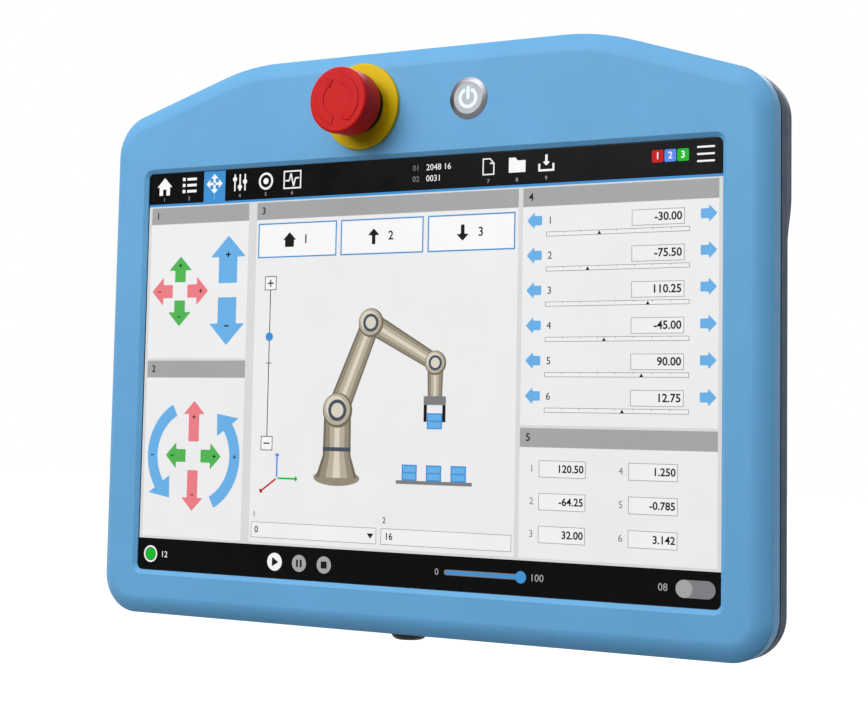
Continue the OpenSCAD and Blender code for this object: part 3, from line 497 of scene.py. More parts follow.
def make_rear_cover(material):
    gap_y = PARTING_Y + SHADOW_GAP
    cover = loft("rear_cover_shell", [(PARTING_Y, SHADOW_DEPTH), (gap_y, SHADOW_DEPTH),
                                      (gap_y + SHADOW_DEPTH, 0)]
                 + rounding(LOWER_SIDE, LOWER_DEPTH, REAR_ROUND_W))
    upper = loft("upper", thick_part(), UPPER_EDGE_Z)
    block_z = UPPER_EDGE_Z + 1
    steps = [(LOWER_DEPTH - CUT, 0)] + rounding(UPPER_DEPTH - BLOCK_R, UPPER_DEPTH, BLOCK_R, steps=6)
    block = solid("block", [
        at(y, rounded_rect(0, block_z, BLOCK_W - 2 * inset, BLOCK_H - 2 * inset, BLOCK_R - inset / 2))
        for y, inset in steps])
    combine(cover, "UNION", [upper, block, gland_boss()])
    hollow = loft("hollow", [(PARTING_Y - CUT, WALL)]
                  + rounding(LOWER_SIDE, LOWER_DEPTH - REAR_WALL, REAR_ROUND_W, WALL))
    upper_hollow = loft("hollow", [(PARTING_Y, WALL)]
                        + rounding(UPPER_SIDE, UPPER_DEPTH - REAR_WALL, REAR_ROUND_W, WALL), UPPER_EDGE_Z)
    slot = box("slot", (-SLOT_W / 2, LOWER_DEPTH, UPPER_EDGE_Z - SLOT_H),
               (SLOT_W / 2, LOWER_DEPTH + SLOT_DEPTH, UPPER_EDGE_Z))
    pads = [prism("pad", rounded_rect(*middle(pad), PAD_W, PAD_H, PAD_R, 10),
                  LOWER_DEPTH - PAD_RECESS, LOWER_DEPTH + CUT) for pad in ("grip_pad_left", "grip_pad_right")]
    combine(cover, "DIFFERENCE", [hollow, upper_hollow, slot] + pads)
    wells = [bore(x, z, SCREW_WELL_R, PARTING_Y + SCREW_WELL_FLOOR, UPPER_DEPTH + CUT)
             for x, z in screw_places()]
    combine(cover, "DIFFERENCE", wells + port_cutters())
    return fit(cover, material, "housing", "grey_cover", "rear_cover", weigh=True)


def port_cutters():
    """Recess of the port's cap, way of the socket behind it and scoop above it."""
    (x0, y0, z0), (x1, y1, z1) = span("port_cap")
    low, high = span("data_socket")
    recess = box("recess", (x0 - CUT, y0 - PORT_GAP, z0 - PORT_GAP),
                 (x1 + PORT_GAP, y1 + PORT_GAP, z1 + PORT_GAP))
    way = box("way", (x0, low.y - SOCKET_GAP, low.z - SOCKET_GAP),
              (x0 + 4, high.y + SOCKET_GAP, high.z + SOCKET_GAP))
    scoop = prism("scoop", circle(x0 + 1.4, z1, SCOOP_R, 48), y0 + 1, y1 - 1)
    return [recess, way, scoop]


GLAND_R = 5.2                # gland: its barrel, cable bore, nose, and how far the nose hangs out
CABLE_R = 4
NOSE_R = 7.4
NOSE_FLAT_R = 4.4
NOSE_DROP = 3.4


def make_gland(material):
    """Gland with a shallow domed nose; its barrel goes through the casing's wall."""
    low, high = span("cable_gland")
    tip_z = BOTTOM_Z - NOSE_DROP
    dome = [(NOSE_FLAT_R + (NOSE_R - NOSE_FLAT_R) * math.sin(a), BOTTOM_Z - NOSE_DROP * math.cos(a))
            for a in quarter(12)]
    profile = ([(CABLE_R, high.z), (CABLE_R, tip_z + 0.3)] + dome
               + [(GLAND_R, BOTTOM_Z), (GLAND_R, high.z), (CABLE_R, high.z)])
    points, faces = skin(upright(profile, (low.x + high.x) / 2, (low.y + high.y) / 2, 72))
    nose = mesh_object("gland_nose", points, faces[:-2])
    return fit(nose, material, "housing", "black_plastic", "cable_gland")


# ---- emergency stop

HEAD_ROUND = 1.2
HEAD_CAP = 3.5               # thickness of the head in front of its shaft
HEAD_ROOM = 5.4              # room over the collar for the head to be pressed in
SHAFT_HOLE_R = 3.05
COLLAR_HOLE_R = 4.05
STOP_BARREL_R = 8
ARROW_R = 8.25
ARROW_W = 3.3
ARROW_HEAD_W = 4.5
ARROW_H = 0.25
ARROW_ANGLES = (76, -54, -74)   # back, neck and tip of the arrow, in degrees round the head


def stop_disc(x, z, material):
    r, top, _ = extent("stop_disc")
    profile = [(STOP_HOLE_R, 0), (r - 0.2, 0), (r, -0.2), (r, top + 0.45), (r - 0.08, top + 0.2),
               (r - 0.22, top + 0.07), (r - 0.5, top), (STOP_HOLE_R, top)]
    fit(lathe("stop_disc_face", profile, x, z, 128), material, "housing", "yellow_disc", "stop_disc")


def stop_head(x, z, material):
    """Head with a rounded edge, hollow over the collar, and two raised arrows, each ringed by a painted
    shadow line of darker red.
    """
    r, top, skirt = extent("stop_head")
    face = top + ARROW_H
    collar_r, collar_top, _ = extent("stop_bushing")
    bore_r, ceiling = collar_r + 0.3, collar_top - HEAD_ROOM
    edge = [(r - HEAD_ROUND * (1 - math.cos(a)), face + HEAD_ROUND * (1 - math.sin(a)))
            for a in reversed(quarter(10))]
    profile = ([(0, face + HEAD_CAP), (0, face), (r - HEAD_ROUND - 0.1, face)] + edge
               + [(r - 0.05, face + 4), (r - 0.3, skirt - 0.7), (r - 0.4, skirt - 0.25), (r - 0.7, skirt),
                  (bore_r + 0.2, skirt), (bore_r, skirt - 0.2), (bore_r, ceiling),
                  (SHAFT_HOLE_R, ceiling), (SHAFT_HOLE_R, face + HEAD_CAP)])
    head = lathe("stop_head_body", profile, x, z, 128, closed=False)
    fit(head, material, "stop_head", "red_head", "stop_head", smooth=40)
    # painted shadow: a thin rim of darker red just round each raised arrow, standing in for the shade at its
    # foot
    shadow_red = plastic("red_painted_shadow", (150, 12, 14), 0.5, specular=0.1)
    raised = ((face + 0.1, 0), (face - ARROW_H * 0.6, 0.02), (face - ARROW_H, 0.12))
    painted_shadow_levels = ((face + 0.1, -0.17), (face - 0.04, -0.17))
    for turn in (0, 180):
        fit(turn_arrow(f"stop_arrow_{turn}", x, z, turn, raised), material, "stop_head", "red_head")
        fit(turn_arrow(f"stop_arrow_painted_shadow_{turn}", x, z, turn, painted_shadow_levels), shadow_red, "stop_head", "red_head")


def stop_collar(x, z, material):
    r, top, back = extent("stop_bushing")
    disc_top = extent("stop_disc")[1]
    profile = [(COLLAR_HOLE_R, top + 0.4), (COLLAR_HOLE_R + 0.35, top), (r - 0.8, top), (r - 0.25, top + 0.2),
               (r, top + 0.8), (r, disc_top), (STOP_BARREL_R, disc_top), (STOP_BARREL_R, back),
               (COLLAR_HOLE_R, back)]
    fit(lathe("stop_collar", profile, x, z, 96), material, "housing", "black_plastic", "stop_bushing")


def turn_arrow(name, x, z, turn, levels):
    """Curved arrow on the head's face, clockwise from the front; levels are (depth, inset)."""
    back, neck, tip = ARROW_ANGLES

    def ring(inset):
        slip = math.degrees(inset / ARROW_R)
        outer = arc(0, 0, ARROW_R + ARROW_W / 2 - inset, back - slip, neck + slip, 28)
        inner = arc(0, 0, ARROW_R - ARROW_W / 2 + inset, neck + slip, back - slip, 28)
        half = ARROW_HEAD_W / 2 - 1.5 * inset
        tips = ((ARROW_R + half, neck + slip), (ARROW_R, tip + 2 * slip), (ARROW_R - half, neck + slip))
        return turned(outer + [polar(0, 0, q, a) for q, a in tips] + inner, x, z, turn)

    return solid(name, [at(y, ring(inset)) for y, inset in levels])


# ---- power button

SYMBOL_R = 3.48              # middle of the ring's stroke
SYMBOL_W = 1.35
SYMBOL_GAP = 33              # half of the ring's gap, in degrees
SYMBOL_OUT = 0.02
SYMBOL_BACK = 0.35
PAINTED_HALO_W = 0.5                 # reach of the glow painted on the cap round the symbol
POWER_BARREL_R = 7
POWER_BORE_R = 4.6           # bore of the barrel, and depth where it starts
POWER_BORE_Y = 5
PLUNGER_R = 4.3              # plunger behind the cap, and depth where it starts
PLUNGER_Y = 3.5


def power_ring(x, z):
    r, top, back = extent("power_ring")
    bore_r = extent("power_cap")[0] + 0.05
    steel = turned_metal("ring_steel", (104, 106, 111), 0.24, x, z)
    profile = [(bore_r, top + 0.02), (bore_r + 0.03, top), (bore_r + 0.08, top + 0.01), (r - 0.25, -0.26),
               (r - 0.06, -0.2), (r, -0.12), (r, 0), (POWER_BARREL_R, 0), (POWER_BARREL_R, back),
               (POWER_BORE_R, back), (POWER_BORE_R, POWER_BORE_Y), (bore_r, POWER_BORE_Y)]
    fit(lathe("power_ring_bevel", profile, x, z, 128), steel, "housing", "ring_steel", "power_ring")


def power_cap(x, z):
    r, face, back = extent("power_cap")
    profile = [(0, face + 0.6), (0, face), (r - 0.3, face), (r - 0.04, face), (r, face + 0.04),
               (r, PLUNGER_Y), (PLUNGER_R, PLUNGER_Y), (PLUNGER_R, back), (0, back)]
    cap = lathe("power_cap_face", profile, x, z, 96, closed=False)
    fit(cap, halo_metal(x, z), "power_button", "cap_metal", "power_cap")


def power_symbol(x, z):
    """Open ring with a bar in its gap."""
    light = lit("lit_symbol", (240, 252, 255), 0.95)
    face = extent("power_cap")[1]
    front, back = face - SYMBOL_OUT, face + SYMBOL_BACK
    ends = (90 + SYMBOL_GAP, 450 - SYMBOL_GAP)
    loop = (arc(x, z, SYMBOL_R + SYMBOL_W / 2, *ends, 48) + round_end(x, z, ends[1], 1)
            + arc(x, z, SYMBOL_R - SYMBOL_W / 2, *ends[::-1], 48) + round_end(x, z, ends[0], -1))
    ring = prism("power_symbol_ring", loop, front, back)
    fit(ring, light, "power_button", "lit_symbol", "power_symbol")
    bar_top = span("power_symbol")[1].z
    bar_low = 2 * z + SYMBOL_R + SYMBOL_W / 2 - bar_top
    bar = rounded_rect(x, (bar_top + bar_low) / 2, SYMBOL_W, bar_top - bar_low, SYMBOL_W / 2 - 0.01, 8)
    fit(prism("power_symbol_bar", bar, front, back), light, "power_button", "lit_symbol")


def round_end(x, z, angle, side):
    """Half circle at one end of the symbol's ring."""
    start = angle if side > 0 else angle + 180
    return arc(*polar(x, z, SYMBOL_R, angle), SYMBOL_W / 2, start, start + 180, 10)[1:-1]


def halo_metal(x, z):
    """Satin metal with a painted glow: its base colour is lighter round the lit ring, standing in for the
    ring's light on the cap.
    """
    finish = Finish("cap_metal", (186, 190, 196), 0.5, specular=0.3)
    finish.mottle(2, 0.04).sheen(1.5, 0.05).relief(0.2, 0.01)
    base = finish.shader.inputs["Base Color"].links[0].from_socket
    away = finish.node("Math", finish.reach(x, z), SYMBOL_R * MM, operation="SUBTRACT").outputs["Value"]
    away = finish.node("Math", away, operation="ABSOLUTE").outputs["Value"]
    # painted glow: the base colour turns a pale bluish white near the ring's stroke and fades out a little
    # way off
    glow = finish.node("MapRange", Value=away, From_Min=SYMBOL_W / 2 * MM,
                       From_Max=(SYMBOL_W / 2 + PAINTED_HALO_W) * MM, To_Min=0.6, To_Max=0.0)
    glow.interpolation_type = "SMOOTHSTEP"
    finish.paint(glow.outputs["Result"], base, (*linear(188, 212, 222), 1))
    return finish.material


# ---- display

TONES = {
    "black": (7, 7, 8), "edge": (220, 221, 222), "body": (240, 240, 241), "bar": (168, 168, 169),
    "white": (250, 250, 250), "ink": (26, 27, 29), "grey": (128, 129, 131), "line": (160, 161, 163),
    "blue": (108, 178, 233), "tab": (66, 148, 214), "red": (238, 128, 136), "green": (84, 182, 86),
    "alert": (196, 24, 30), "sky": (92, 140, 236), "go": (26, 186, 46),
    "metal1": (118, 108, 94), "metal2": (152, 141, 124), "metal3": (186, 176, 158), "metal4": (222, 214, 198),
    "cap": (74, 84, 98),
}
LAYER = 0.06                 # the drawing's layers lie this far apart


class Screen:
    """Shapes on the display, as flat closed plates gathered by tone and layer."""

    def __init__(self):
        self.layers = {}

    def plate(self, tone, level, points, faces):
        self.layers.setdefault((tone, level), []).append((points, faces))

    def polygon(self, tone, level, points):
        self.plate(tone, level, points, [list(range(len(points)))])

    def band(self, tone, level, outer, inner):
        n = len(outer)
        quads = [[i, (i + 1) % n, n + (i + 1) % n, n + i] for i in range(n)]
        self.plate(tone, level, outer + inner, quads)

    def rect(self, tone, level, x0, z0, x1, z1, r=0.0):
        if r:
            self.polygon(tone, level, rounded_rect((x0 + x1) / 2, (z0 + z1) / 2, x1 - x0, z1 - z0, r))
        else:
            self.polygon(tone, level, [(x0, z0), (x1, z0), (x1, z1), (x0, z1)])

    def frame(self, tone, level, x0, z0, x1, z1, w):
        outer = [(x0, z0), (x1, z0), (x1, z1), (x0, z1)]
        inner = [(x0 + w, z0 + w), (x1 - w, z0 + w), (x1 - w, z1 - w), (x0 + w, z1 - w)]
        self.band(tone, level, outer, inner)

    def framed(self, fill, edge, level, x0, z0, x1, z1, w=0.25):
        self.rect(fill, level, x0, z0, x1, z1)
        self.frame(edge, level + 1, x0, z0, x1, z1, w)

    def bar(self, tone, level, x, z, w, h, r=0.0):
        """Rectangle about its middle."""
        self.rect(tone, level, x - w / 2, z - h / 2, x + w / 2, z + h / 2, r)

    def disc(self, tone, level, x, z, r):
        self.polygon(tone, level, circle(x, z, r, 36))

    def ring(self, tone, level, x, z, r, w):
        self.band(tone, level, circle(x, z, r, 36), circle(x, z, r - w, 36))

    def stroke(self, tone, level, p, q, w):
        half = w / 2 / math.dist(p, q)
        nx, nz = (p[1] - q[1]) * half, (q[0] - p[0]) * half
        self.polygon(tone, level, [(p[0] - nx, p[1] - nz), (q[0] - nx, q[1] - nz),
                                   (q[0] + nx, q[1] + nz), (p[0] + nx, p[1] + nz)])

    def arrow(self, tone, level, x, z, turn, length, head, neck):
        """Block arrow whose tip points along turn, in degrees, with its middle at (x, z)."""
        tip, back = length / 2, -length / 2
        root = tip - head / 2
        shape = [(back, -neck / 2), (root, -neck / 2), (root, -head / 2), (tip, 0),
                 (root, head / 2), (root, neck / 2), (back, neck / 2)]
        self.polygon(tone, level, turned(rounded(shape, 0.5), x, z, turn))

    def curved_arrow(self, tone, level, x, z, r, w, start, end, head):
        side = 1 if end > start else -1
        neck = end - side * math.degrees(head / r)
        outer = arc(x, z, r + w / 2, start, neck, 18)
        inner = arc(x, z, r - w / 2, neck, start, 18)
        tips = [(r + w / 2 + head / 2, neck), (r, end), (r - w / 2 - head / 2, neck)]
        self.polygon(tone, level, outer + [polar(x, z, q, a) for q, a in tips] + inner)

    def plus(self, tone, level, x, z, size=1.7, w=0.4):
        self.minus(tone, level, x, z, size, w)
        for side in (1, -1):
            self.bar(tone, level, x, z + side * (size + w) / 4, w, (size - w) / 2)

    def minus(self, tone, level, x, z, size=1.7, w=0.4):
        self.bar(tone, level, x, z, size, w)

    def number(self, tone, level, text, x, z, height, align="RIGHT", bold=0.018):
        curve = bpy.data.curves.new("digits", "FONT")
        curve.body = text
        curve.size = height * MM / 0.72
        curve.align_x = align
        curve.align_y = "CENTER"
        curve.offset = bold * height * MM
        curve.resolution_u = 3
        item = add_object("digits", curve)
        bpy.context.view_layer.update()
        flat = bpy.data.meshes.new_from_object(item.evaluated_get(bpy.context.evaluated_depsgraph_get()))
        points = [(x + v.co.x / MM, z + v.co.y / MM) for v in flat.vertices]
        self.plate(tone, level, points, [list(p.vertices) for p in flat.polygons])
        bpy.data.objects.remove(item)
        bpy.data.meshes.remove(flat)

    def build(self):
        for (tone, level), shapes in sorted(self.layers.items()):
            front = GLASS_Y - LAYER * level
            points, faces = [], []
            for flat, flat_faces in shapes:
                add_plate(points, faces, flat, flat_faces, front, front + 0.8 * LAYER)
            piece = mesh_object(f"screen_{tone}_{level}", points, faces)
            material = bpy.data.materials.get("screen_" + tone) or lit("screen_" + tone, TONES[tone])
            fit(piece, material, "housing", "screen_glass", smooth=30)


def add_plate(points, faces, flat, flat_faces, front, back):
    """Adds one closed plate: its flat faces in front and behind, and walls along their free sides."""
    start, n = len(points), len(flat)
    points += at(front, flat) + at(back, flat)
    faces += [[start + i for i in face] for face in flat_faces]
    faces += [[start + n + i for i in reversed(face)] for face in flat_faces]
    sides = dict.fromkeys(side for face in flat_faces for side in zip(face, face[1:] + face[:1]))
    faces += [[start + a, start + n + a, start + n + b, start + b] for a, b in sides if (b, a) not in sides]


def moved(points, x, z):
    return [(x + px, z + pz) for px, pz in points]


def turned(points, x, z, degrees):
    c, s = math.cos(math.radians(degrees)), math.sin(math.radians(degrees))
    return [(x + px * c - pz * s, z + px * s + pz * c) for px, pz in points]


def rounded(points, r):
    """Rounds each corner of a polygon with a short curve."""
    result = []
    for i, corner in enumerate(points):
        ends = []
        for other in (points[i - 1], points[(i + 1) % len(points)]):
            size = math.dist(corner, other)
            share = min(r, size / 2) / size
            ends.append([c + (o - c) * share for c, o in zip(corner, other)])
        for t in (0, 0.33, 0.67, 1):
            result.append(tuple((1 - t) ** 2 * a + 2 * t * (1 - t) * c + t * t * b
                                for a, c, b in zip(ends[0], corner, ends[1])))
    return result


HEAD_Z = 71.2                # lower edge of the header
FOOT_Z = -71.2               # upper edge of the footer
EDGE_X = WINDOW_W / 2 - 0.15
EDGE_Z = WINDOW_H / 2 - 0.2
COLUMNS = ((-129.8, -78.4), (-74.2, 48.4), (50.4, 129.8))
PANELS = ((0, 69.6, 5.0), (0, 4.0, -70.2), (1, 69.6, -70.2), (2, 69.6, -20.6), (2, -21.6, -70.2))
BAR_H = 7.2                  # height of a panel's title
ICON_Z = 78.6                # middle of the header's pictures, and of the numbers below them
LABEL_Z = 73.1
ICON_STEP = 13.3
FILE_STEP = 12.5
BUTTON_Z = 53.6              # middle and half height of the three buttons over the arm
BUTTON_HALF = 7.2
ARM_BASE = (-32, -43)
VALUE_STEP = 12.2
ROW_STEP = 13.3
PLAY_Z = -77.8               # middle of the footer's controls


def make_screen():
    screen = Screen()
    screen.rect("black", 1, -EDGE_X, HEAD_Z, EDGE_X, EDGE_Z)
    screen.rect("black", 1, -EDGE_X, -EDGE_Z, EDGE_X, FOOT_Z)
    screen.rect("tab", 1, -EDGE_X, HEAD_Z - 1.0, EDGE_X, HEAD_Z)
    screen.rect("edge", 1, -EDGE_X, FOOT_Z, EDGE_X, HEAD_Z - 1.0)
    for i, (column, top, low) in enumerate(PANELS):
        x0, x1 = COLUMNS[column]
        screen.rect("body", 2, x0, low, x1, top - BAR_H)
        screen.rect("bar", 2, x0, top - BAR_H, x1, top)
        screen.number("ink", 3, str(i + 1), x0 + 2.4, top - BAR_H / 2, 3.0, "LEFT")
    for draw in (header, jog_pad, turn_pad, arm_view, value_fields, joint_rows, footer):
        draw(screen)
    screen.build()


def label(screen, number, x):
    screen.number("bar", 3, str(number), x, LABEL_Z, 1.6, "CENTER", 0)


def header(screen):
    z = ICON_Z
    cells = [-123.4 + ICON_STEP * i for i in range(6)]
    screen.rect("tab", 2, cells[2] - 5.6, HEAD_Z, cells[2] + 5.6, EDGE_Z)
    house = [(-4, 0), (0, 4), (4, 0), (2.8, 0), (2.8, -3.6), (0.9, -3.6), (0.9, -1), (-0.9, -1),
             (-0.9, -3.6), (-2.8, -3.6), (-2.8, 0)]
    screen.polygon("white", 3, moved(house, cells[0], z))
    for i in range(3):
        screen.bar("white", 3, cells[1] - 2.9, z + 2.9 - 2.6 * i, 1.4, 1.4)
        screen.bar("white", 3, cells[1] + 1.3, z + 2.85 - 2.6 * i, 5.0, 1.1)
    point = [(0.5, -0.55), (2.3, -0.55), (2.3, -1.9), (4.2, 0), (2.3, 1.9), (2.3, 0.55), (0.5, 0.55)]
    for turn in (0, 90, 180, 270):
        screen.polygon("white", 3, turned(point, cells[2], z + 0.2, turn))
    for i, knob in enumerate((1.6, -1.8, 0.4)):
        x = cells[3] + 2.6 * (i - 1)
        screen.bar("white", 3, x, z + 0.1, 0.7, 7.0)
        screen.disc("white", 4, x, z + knob, 1.05)
    screen.ring("white", 3, cells[4], z, 3.6, 0.9)
    screen.disc("white", 3, cells[4], z, 1.3)
    screen.frame("white", 3, cells[5] - 4.4, z - 3.8, cells[5] + 4.4, z + 3.8, 0.6)
    wave = [(-3.4, -0.4), (-1.53, -0.4), (-0.68, 2.6), (0.68, -2.8), (1.53, 0.6), (3.4, 0.6)]
    wave = moved(wave, cells[5], z)
    for p, q in zip(wave, wave[1:]):
        screen.stroke("white", 4, p, q, 0.6)
    for i, x in enumerate(cells):
        label(screen, i + 1, x)
    for row, first, second in ((80.0, "01", "2048 16"), (75.6, "02", "0031")):
        screen.number("grey", 2, first, 4, row, 2.3, "RIGHT", 0)
        screen.number("white", 2, second, 7, row, 2.5, "LEFT", 0)
    files(screen, 35, z)
    for i, tone in enumerate(("alert", "sky", "go")):
        x = 103.4 + 5.0 * i
        screen.rect(tone, 2, x, 76.6, x + 4.6, 81.2, 0.6)
        screen.number("white", 3, str(i + 1), x + 2.3, 78.9, 2.6, "CENTER")
    for i in range(3):
        screen.bar("white", 2, 124.6, 81.35 - 2.6 * i, 6.8, 0.7)


def files(screen, x, z):
    """A sheet, a folder and a tray with a down arrow."""
    sheet = [(-2.6, -3), (2.6, -3), (2.6, 1.6), (0.8, 3.6), (-2.6, 3.6)]
    hole = [(-2.1, -2.5), (2.1, -2.5), (2.1, 1.4), (0.6, 3.1), (-2.1, 3.1)]
    screen.band("white", 2, moved(sheet, x, z), moved(hole, x, z))
    screen.rect("white", 2, x + 0.6, z + 1.3, x + 2.2, z + 1.8)
    folder = [(-3.6, -2.6), (3.6, -2.6), (3.6, 2.0), (0.2, 2.0), (-0.8, 3.2), (-3.6, 3.2)]
    screen.polygon("white", 2, moved(folder, x + FILE_STEP, z))
    tray = [(-3.4, -2.8), (3.4, -2.8), (3.4, 0.2), (2.6, 0.2), (2.6, -2.0), (-2.6, -2.0), (-2.6, 0.2),
            (-3.4, 0.2)]
    screen.polygon("white", 2, moved(tray, x + 2 * FILE_STEP, z))
    screen.arrow("white", 2, x + 2 * FILE_STEP, z + 1.5, 270, 4.4, 3.2, 1.0)
    for i in range(3):
        label(screen, i + 7, x + FILE_STEP * i)


def jog_pad(screen):
    """Two tall arrows and a cross of four."""
    for turn, z, sign in ((90, 46.5, screen.plus), (270, 20.5, screen.minus)):
        screen.arrow("blue", 3, -88.5, z, turn, 20, 18, 9.5)
        sign("ink", 4, -88.5, z + (2 if turn == 90 else -2), 2.4, 0.6)
    cross(screen, -113.5, 33.5, 12, 5.6, 1.6, (("red", 9.4, 11), ("green", 9.4, 11)))


def turn_pad(screen):
    """A cross of four arrows between two curved ones."""
    x, z, r = -104, -36, 21.5
    screen.curved_arrow("blue", 3, x, z, r, 5.2, 118, 236, 8)
    screen.curved_arrow("blue", 3, x, z, r, 5.2, -62, 56, 8)
    screen.minus("ink", 4, x - r, z)
    screen.plus("ink", 4, x + r, z)
    cross(screen, x, z, 11, 5.4, 1.8, (("green", 9.2, 10.5), ("red", 14.5, 17)))


def cross(screen, x, z, head, neck, lead, arms):
    """Four arrows round a point; arms holds (tone, reach, length) of the level and the upright ones."""
    for i, turn in enumerate((0, 90, 180, 270)):
        tone, reach, length = arms[i % 2]
        screen.arrow(tone, 3, *polar(x, z, reach, turn), turn, length, head, neck)
        sign = screen.plus if i < 2 else screen.minus
        sign("ink", 4, *polar(x, z, reach + lead, turn))


def link(screen, p, q, r0, r1, level):
    """Tapered round link, as strips from dark at its edges to light off its middle."""
    shades = ("metal1", "metal2", "metal3", "metal4", "metal3", "metal2", "metal1")
    edges = (-1, -0.86, -0.55, -0.2, 0.18, 0.52, 0.84, 1)
    size = math.dist(p, q)
    nx, nz = (p[1] - q[1]) / size, (q[0] - p[0]) / size

    def off(end, reach):
        return end[0] + nx * reach, end[1] + nz * reach

    for shade, a, b in zip(shades, edges, edges[1:]):
        screen.polygon(shade, level, [off(p, r0 * a), off(q, r1 * a), off(q, r1 * b), off(p, r0 * b)])


def joint(screen, x, z, r, level):
    screen.disc("metal1", level, x, z, r)
    screen.disc("metal3", level + 1, x - 0.05 * r, z + 0.05 * r, 0.9 * r)
    screen.disc("metal4", level + 2, x - 0.12 * r, z + 0.14 * r, 0.68 * r)
    screen.ring("cap", level + 3, x, z, 0.62 * r, 0.2 * r)


def arm_view(screen):
    """Three buttons over an arm that lifts a crate off a bench, a zoom bar and two fields below."""
    for i in range(3):
        x0 = -73.2 + 40.8 * i
        screen.framed("white", "tab", 3, x0, BUTTON_Z - BUTTON_HALF, x0 + 38.8, BUTTON_Z + BUTTON_HALF, 0.55)
        screen.number("ink", 4, str(i + 1), x0 + 22.5, BUTTON_Z, 3.6, "LEFT")
    house = [(-3.2, 0), (0, 3.2), (3.2, 0), (2.2, 0), (2.2, -2.9), (-2.2, -2.9), (-2.2, 0)]
    screen.polygon("ink", 4, moved(house, -57.5, BUTTON_Z))
    screen.arrow("ink", 4, -16.7, BUTTON_Z, 90, 6.4, 5.4, 1.6)
    screen.arrow("ink", 4, 24.1, BUTTON_Z, 270, 6.4, 5.4, 1.6)

    x, z = ARM_BASE
    screen.polygon("metal2", 4, [(x + 11 * across, z + 3.2 * up) for across, up in circle(0, 0, 1, 24)])
    shoulder, elbow, wrist, tool = (x, z + 27), (x + 15, z + 62), (x + 45, z + 46), (x + 45, z + 33)
    link(screen, ARM_BASE, (x, z + 9), 9.8, 6.6, 5)
    link(screen, (x, z + 9), (x, z + 25), 6.6, 6.4, 5)
    screen.rect("cap", 6, x - 6.6, z + 10.6, x + 6.6, z + 12.2)
    link(screen, shoulder, elbow, 5.2, 4.4, 4)
    link(screen, elbow, wrist, 4.4, 3.4, 5)
    link(screen, wrist, tool, 3.6, 3.2, 5)
    for spot, r in ((shoulder, 7.0), (elbow, 5.8), (wrist, 4.8)):
        joint(screen, *spot, r, 6)
    tool_x, tool_z = tool
    screen.rect("grey", 6, tool_x - 5, tool_z - 3.4, tool_x + 5, tool_z, 0.6)
    for side in (-1, 1):
        screen.bar("ink", 6, tool_x + side * 4.2, tool_z - 6.7, 1.4, 6.6)
    crate(screen, tool_x, tool_z - 12.8)
    screen.rect("grey", 4, tool_x - 17, z - 1.4, tool_x + 17, z)
    for spot in (-11, 0, 11):
        crate(screen, tool_x + spot, z)
    for turn, tone in ((90, "sky"), (0, "go"), (215, "alert")):
        screen.arrow(tone, 4, *polar(-61, -44, 5.4, turn), turn, 10, 2.6, 0.7)
    zoom_bar(screen, -66.4)

    for number, x0, x1, value in (("1", -73.2, -12.6, "0"), ("2", -10.6, 47.4, "16")):
        screen.number("ink", 3, number, x0 + 0.6, -59.0, 2.4, "LEFT", 0)
        screen.framed("white", "line", 2, x0, -68.4, x1, -62.0)
        screen.number("ink", 4, value, x0 + 1.8, -65.2, 2.7, "LEFT")
    screen.polygon("ink", 4, [(-17.0, -64.3), (-15.4, -66.3), (-13.8, -64.3)])


def crate(screen, x, z):
    """Small crate that stands on a height z."""
    screen.framed("blue", "tab", 4, x - 3.4, z, x + 3.4, z + 6.2, 0.5)
    screen.rect("tab", 5, x - 2.9, z + 2.8, x + 2.9, z + 3.3)


def zoom_bar(screen, x):
    screen.bar("ink", 3, x, 3.0, 0.36, 60.0)
    for z, sign in ((35.9, screen.plus), (-29.9, screen.minus)):
        screen.framed("white", "ink", 3, x - 2.9, z - 2.9, x + 2.9, z + 2.9, 0.3)
        sign("ink", 4, x, z, 3.0, 0.55)
    screen.bar("ink", 4, x, 2.95, 2.6, 0.3)
    screen.disc("tab", 5, x, 13.8, 1.8)


def value_fields(screen):
    values = (("120.50", "1.250"), ("-64.25", "-0.785"), ("32.00", "3.142"))
    for row, pair in enumerate(values):
        z = -36.8 - VALUE_STEP * row
        for column, value in enumerate(pair):
            x0 = 58.6 + 36.6 * column
            screen.number("grey", 3, str(1 + row + 3 * column), x0 - 3.0, z, 2.7, "CENTER", 0)
            screen.framed("white", "line", 2, x0, z - 3.2, x0 + 19.4, z + 3.2)
            screen.number("ink", 4, value, x0 + 18.6, z, 2.9, bold=0.03)


def joint_rows(screen):
    values = ("-30.00", "-75.50", "110.25", "-45.00", "90.00", "12.75")
    marks = (0.38, 0.3, 0.72, 0.42, 0.68, 0.55)
    for row, (value, mark) in enumerate(zip(values, marks)):
        z = 56.4 - ROW_STEP * row
        for x, turn in ((55.4, 180), (126.0, 0)):
            screen.arrow("blue", 3, x, z + 0.6, turn, 6.4, 6.4, 3.6)
        screen.number("ink", 3, str(row + 1), 61.0, z + 0.4, 2.9, "LEFT", 0)
        screen.framed("white", "line", 2, 95.6, z - 2.9, 116.6, z + 3.1)
        screen.number("ink", 4, value, 115.6, z + 0.1, 3.1, bold=0.03)
        ruler(screen, 60.4, 118.6, z - 5.6, mark)


def ruler(screen, x0, x1, z, mark):
    screen.framed("white", "grey", 2, x0, z, x1, z + 1.8, 0.2)
    for i in range(1, 8):
        x = x0 + (x1 - x0) * i / 8
        screen.bar("grey", 3, x, z + 1.35, 0.2, 0.5)
    x = x0 + (x1 - x0) * mark
    screen.polygon("ink", 4, [(x - 0.8, z + 0.1), (x + 0.8, z + 0.1), (x, z + 1.5)])


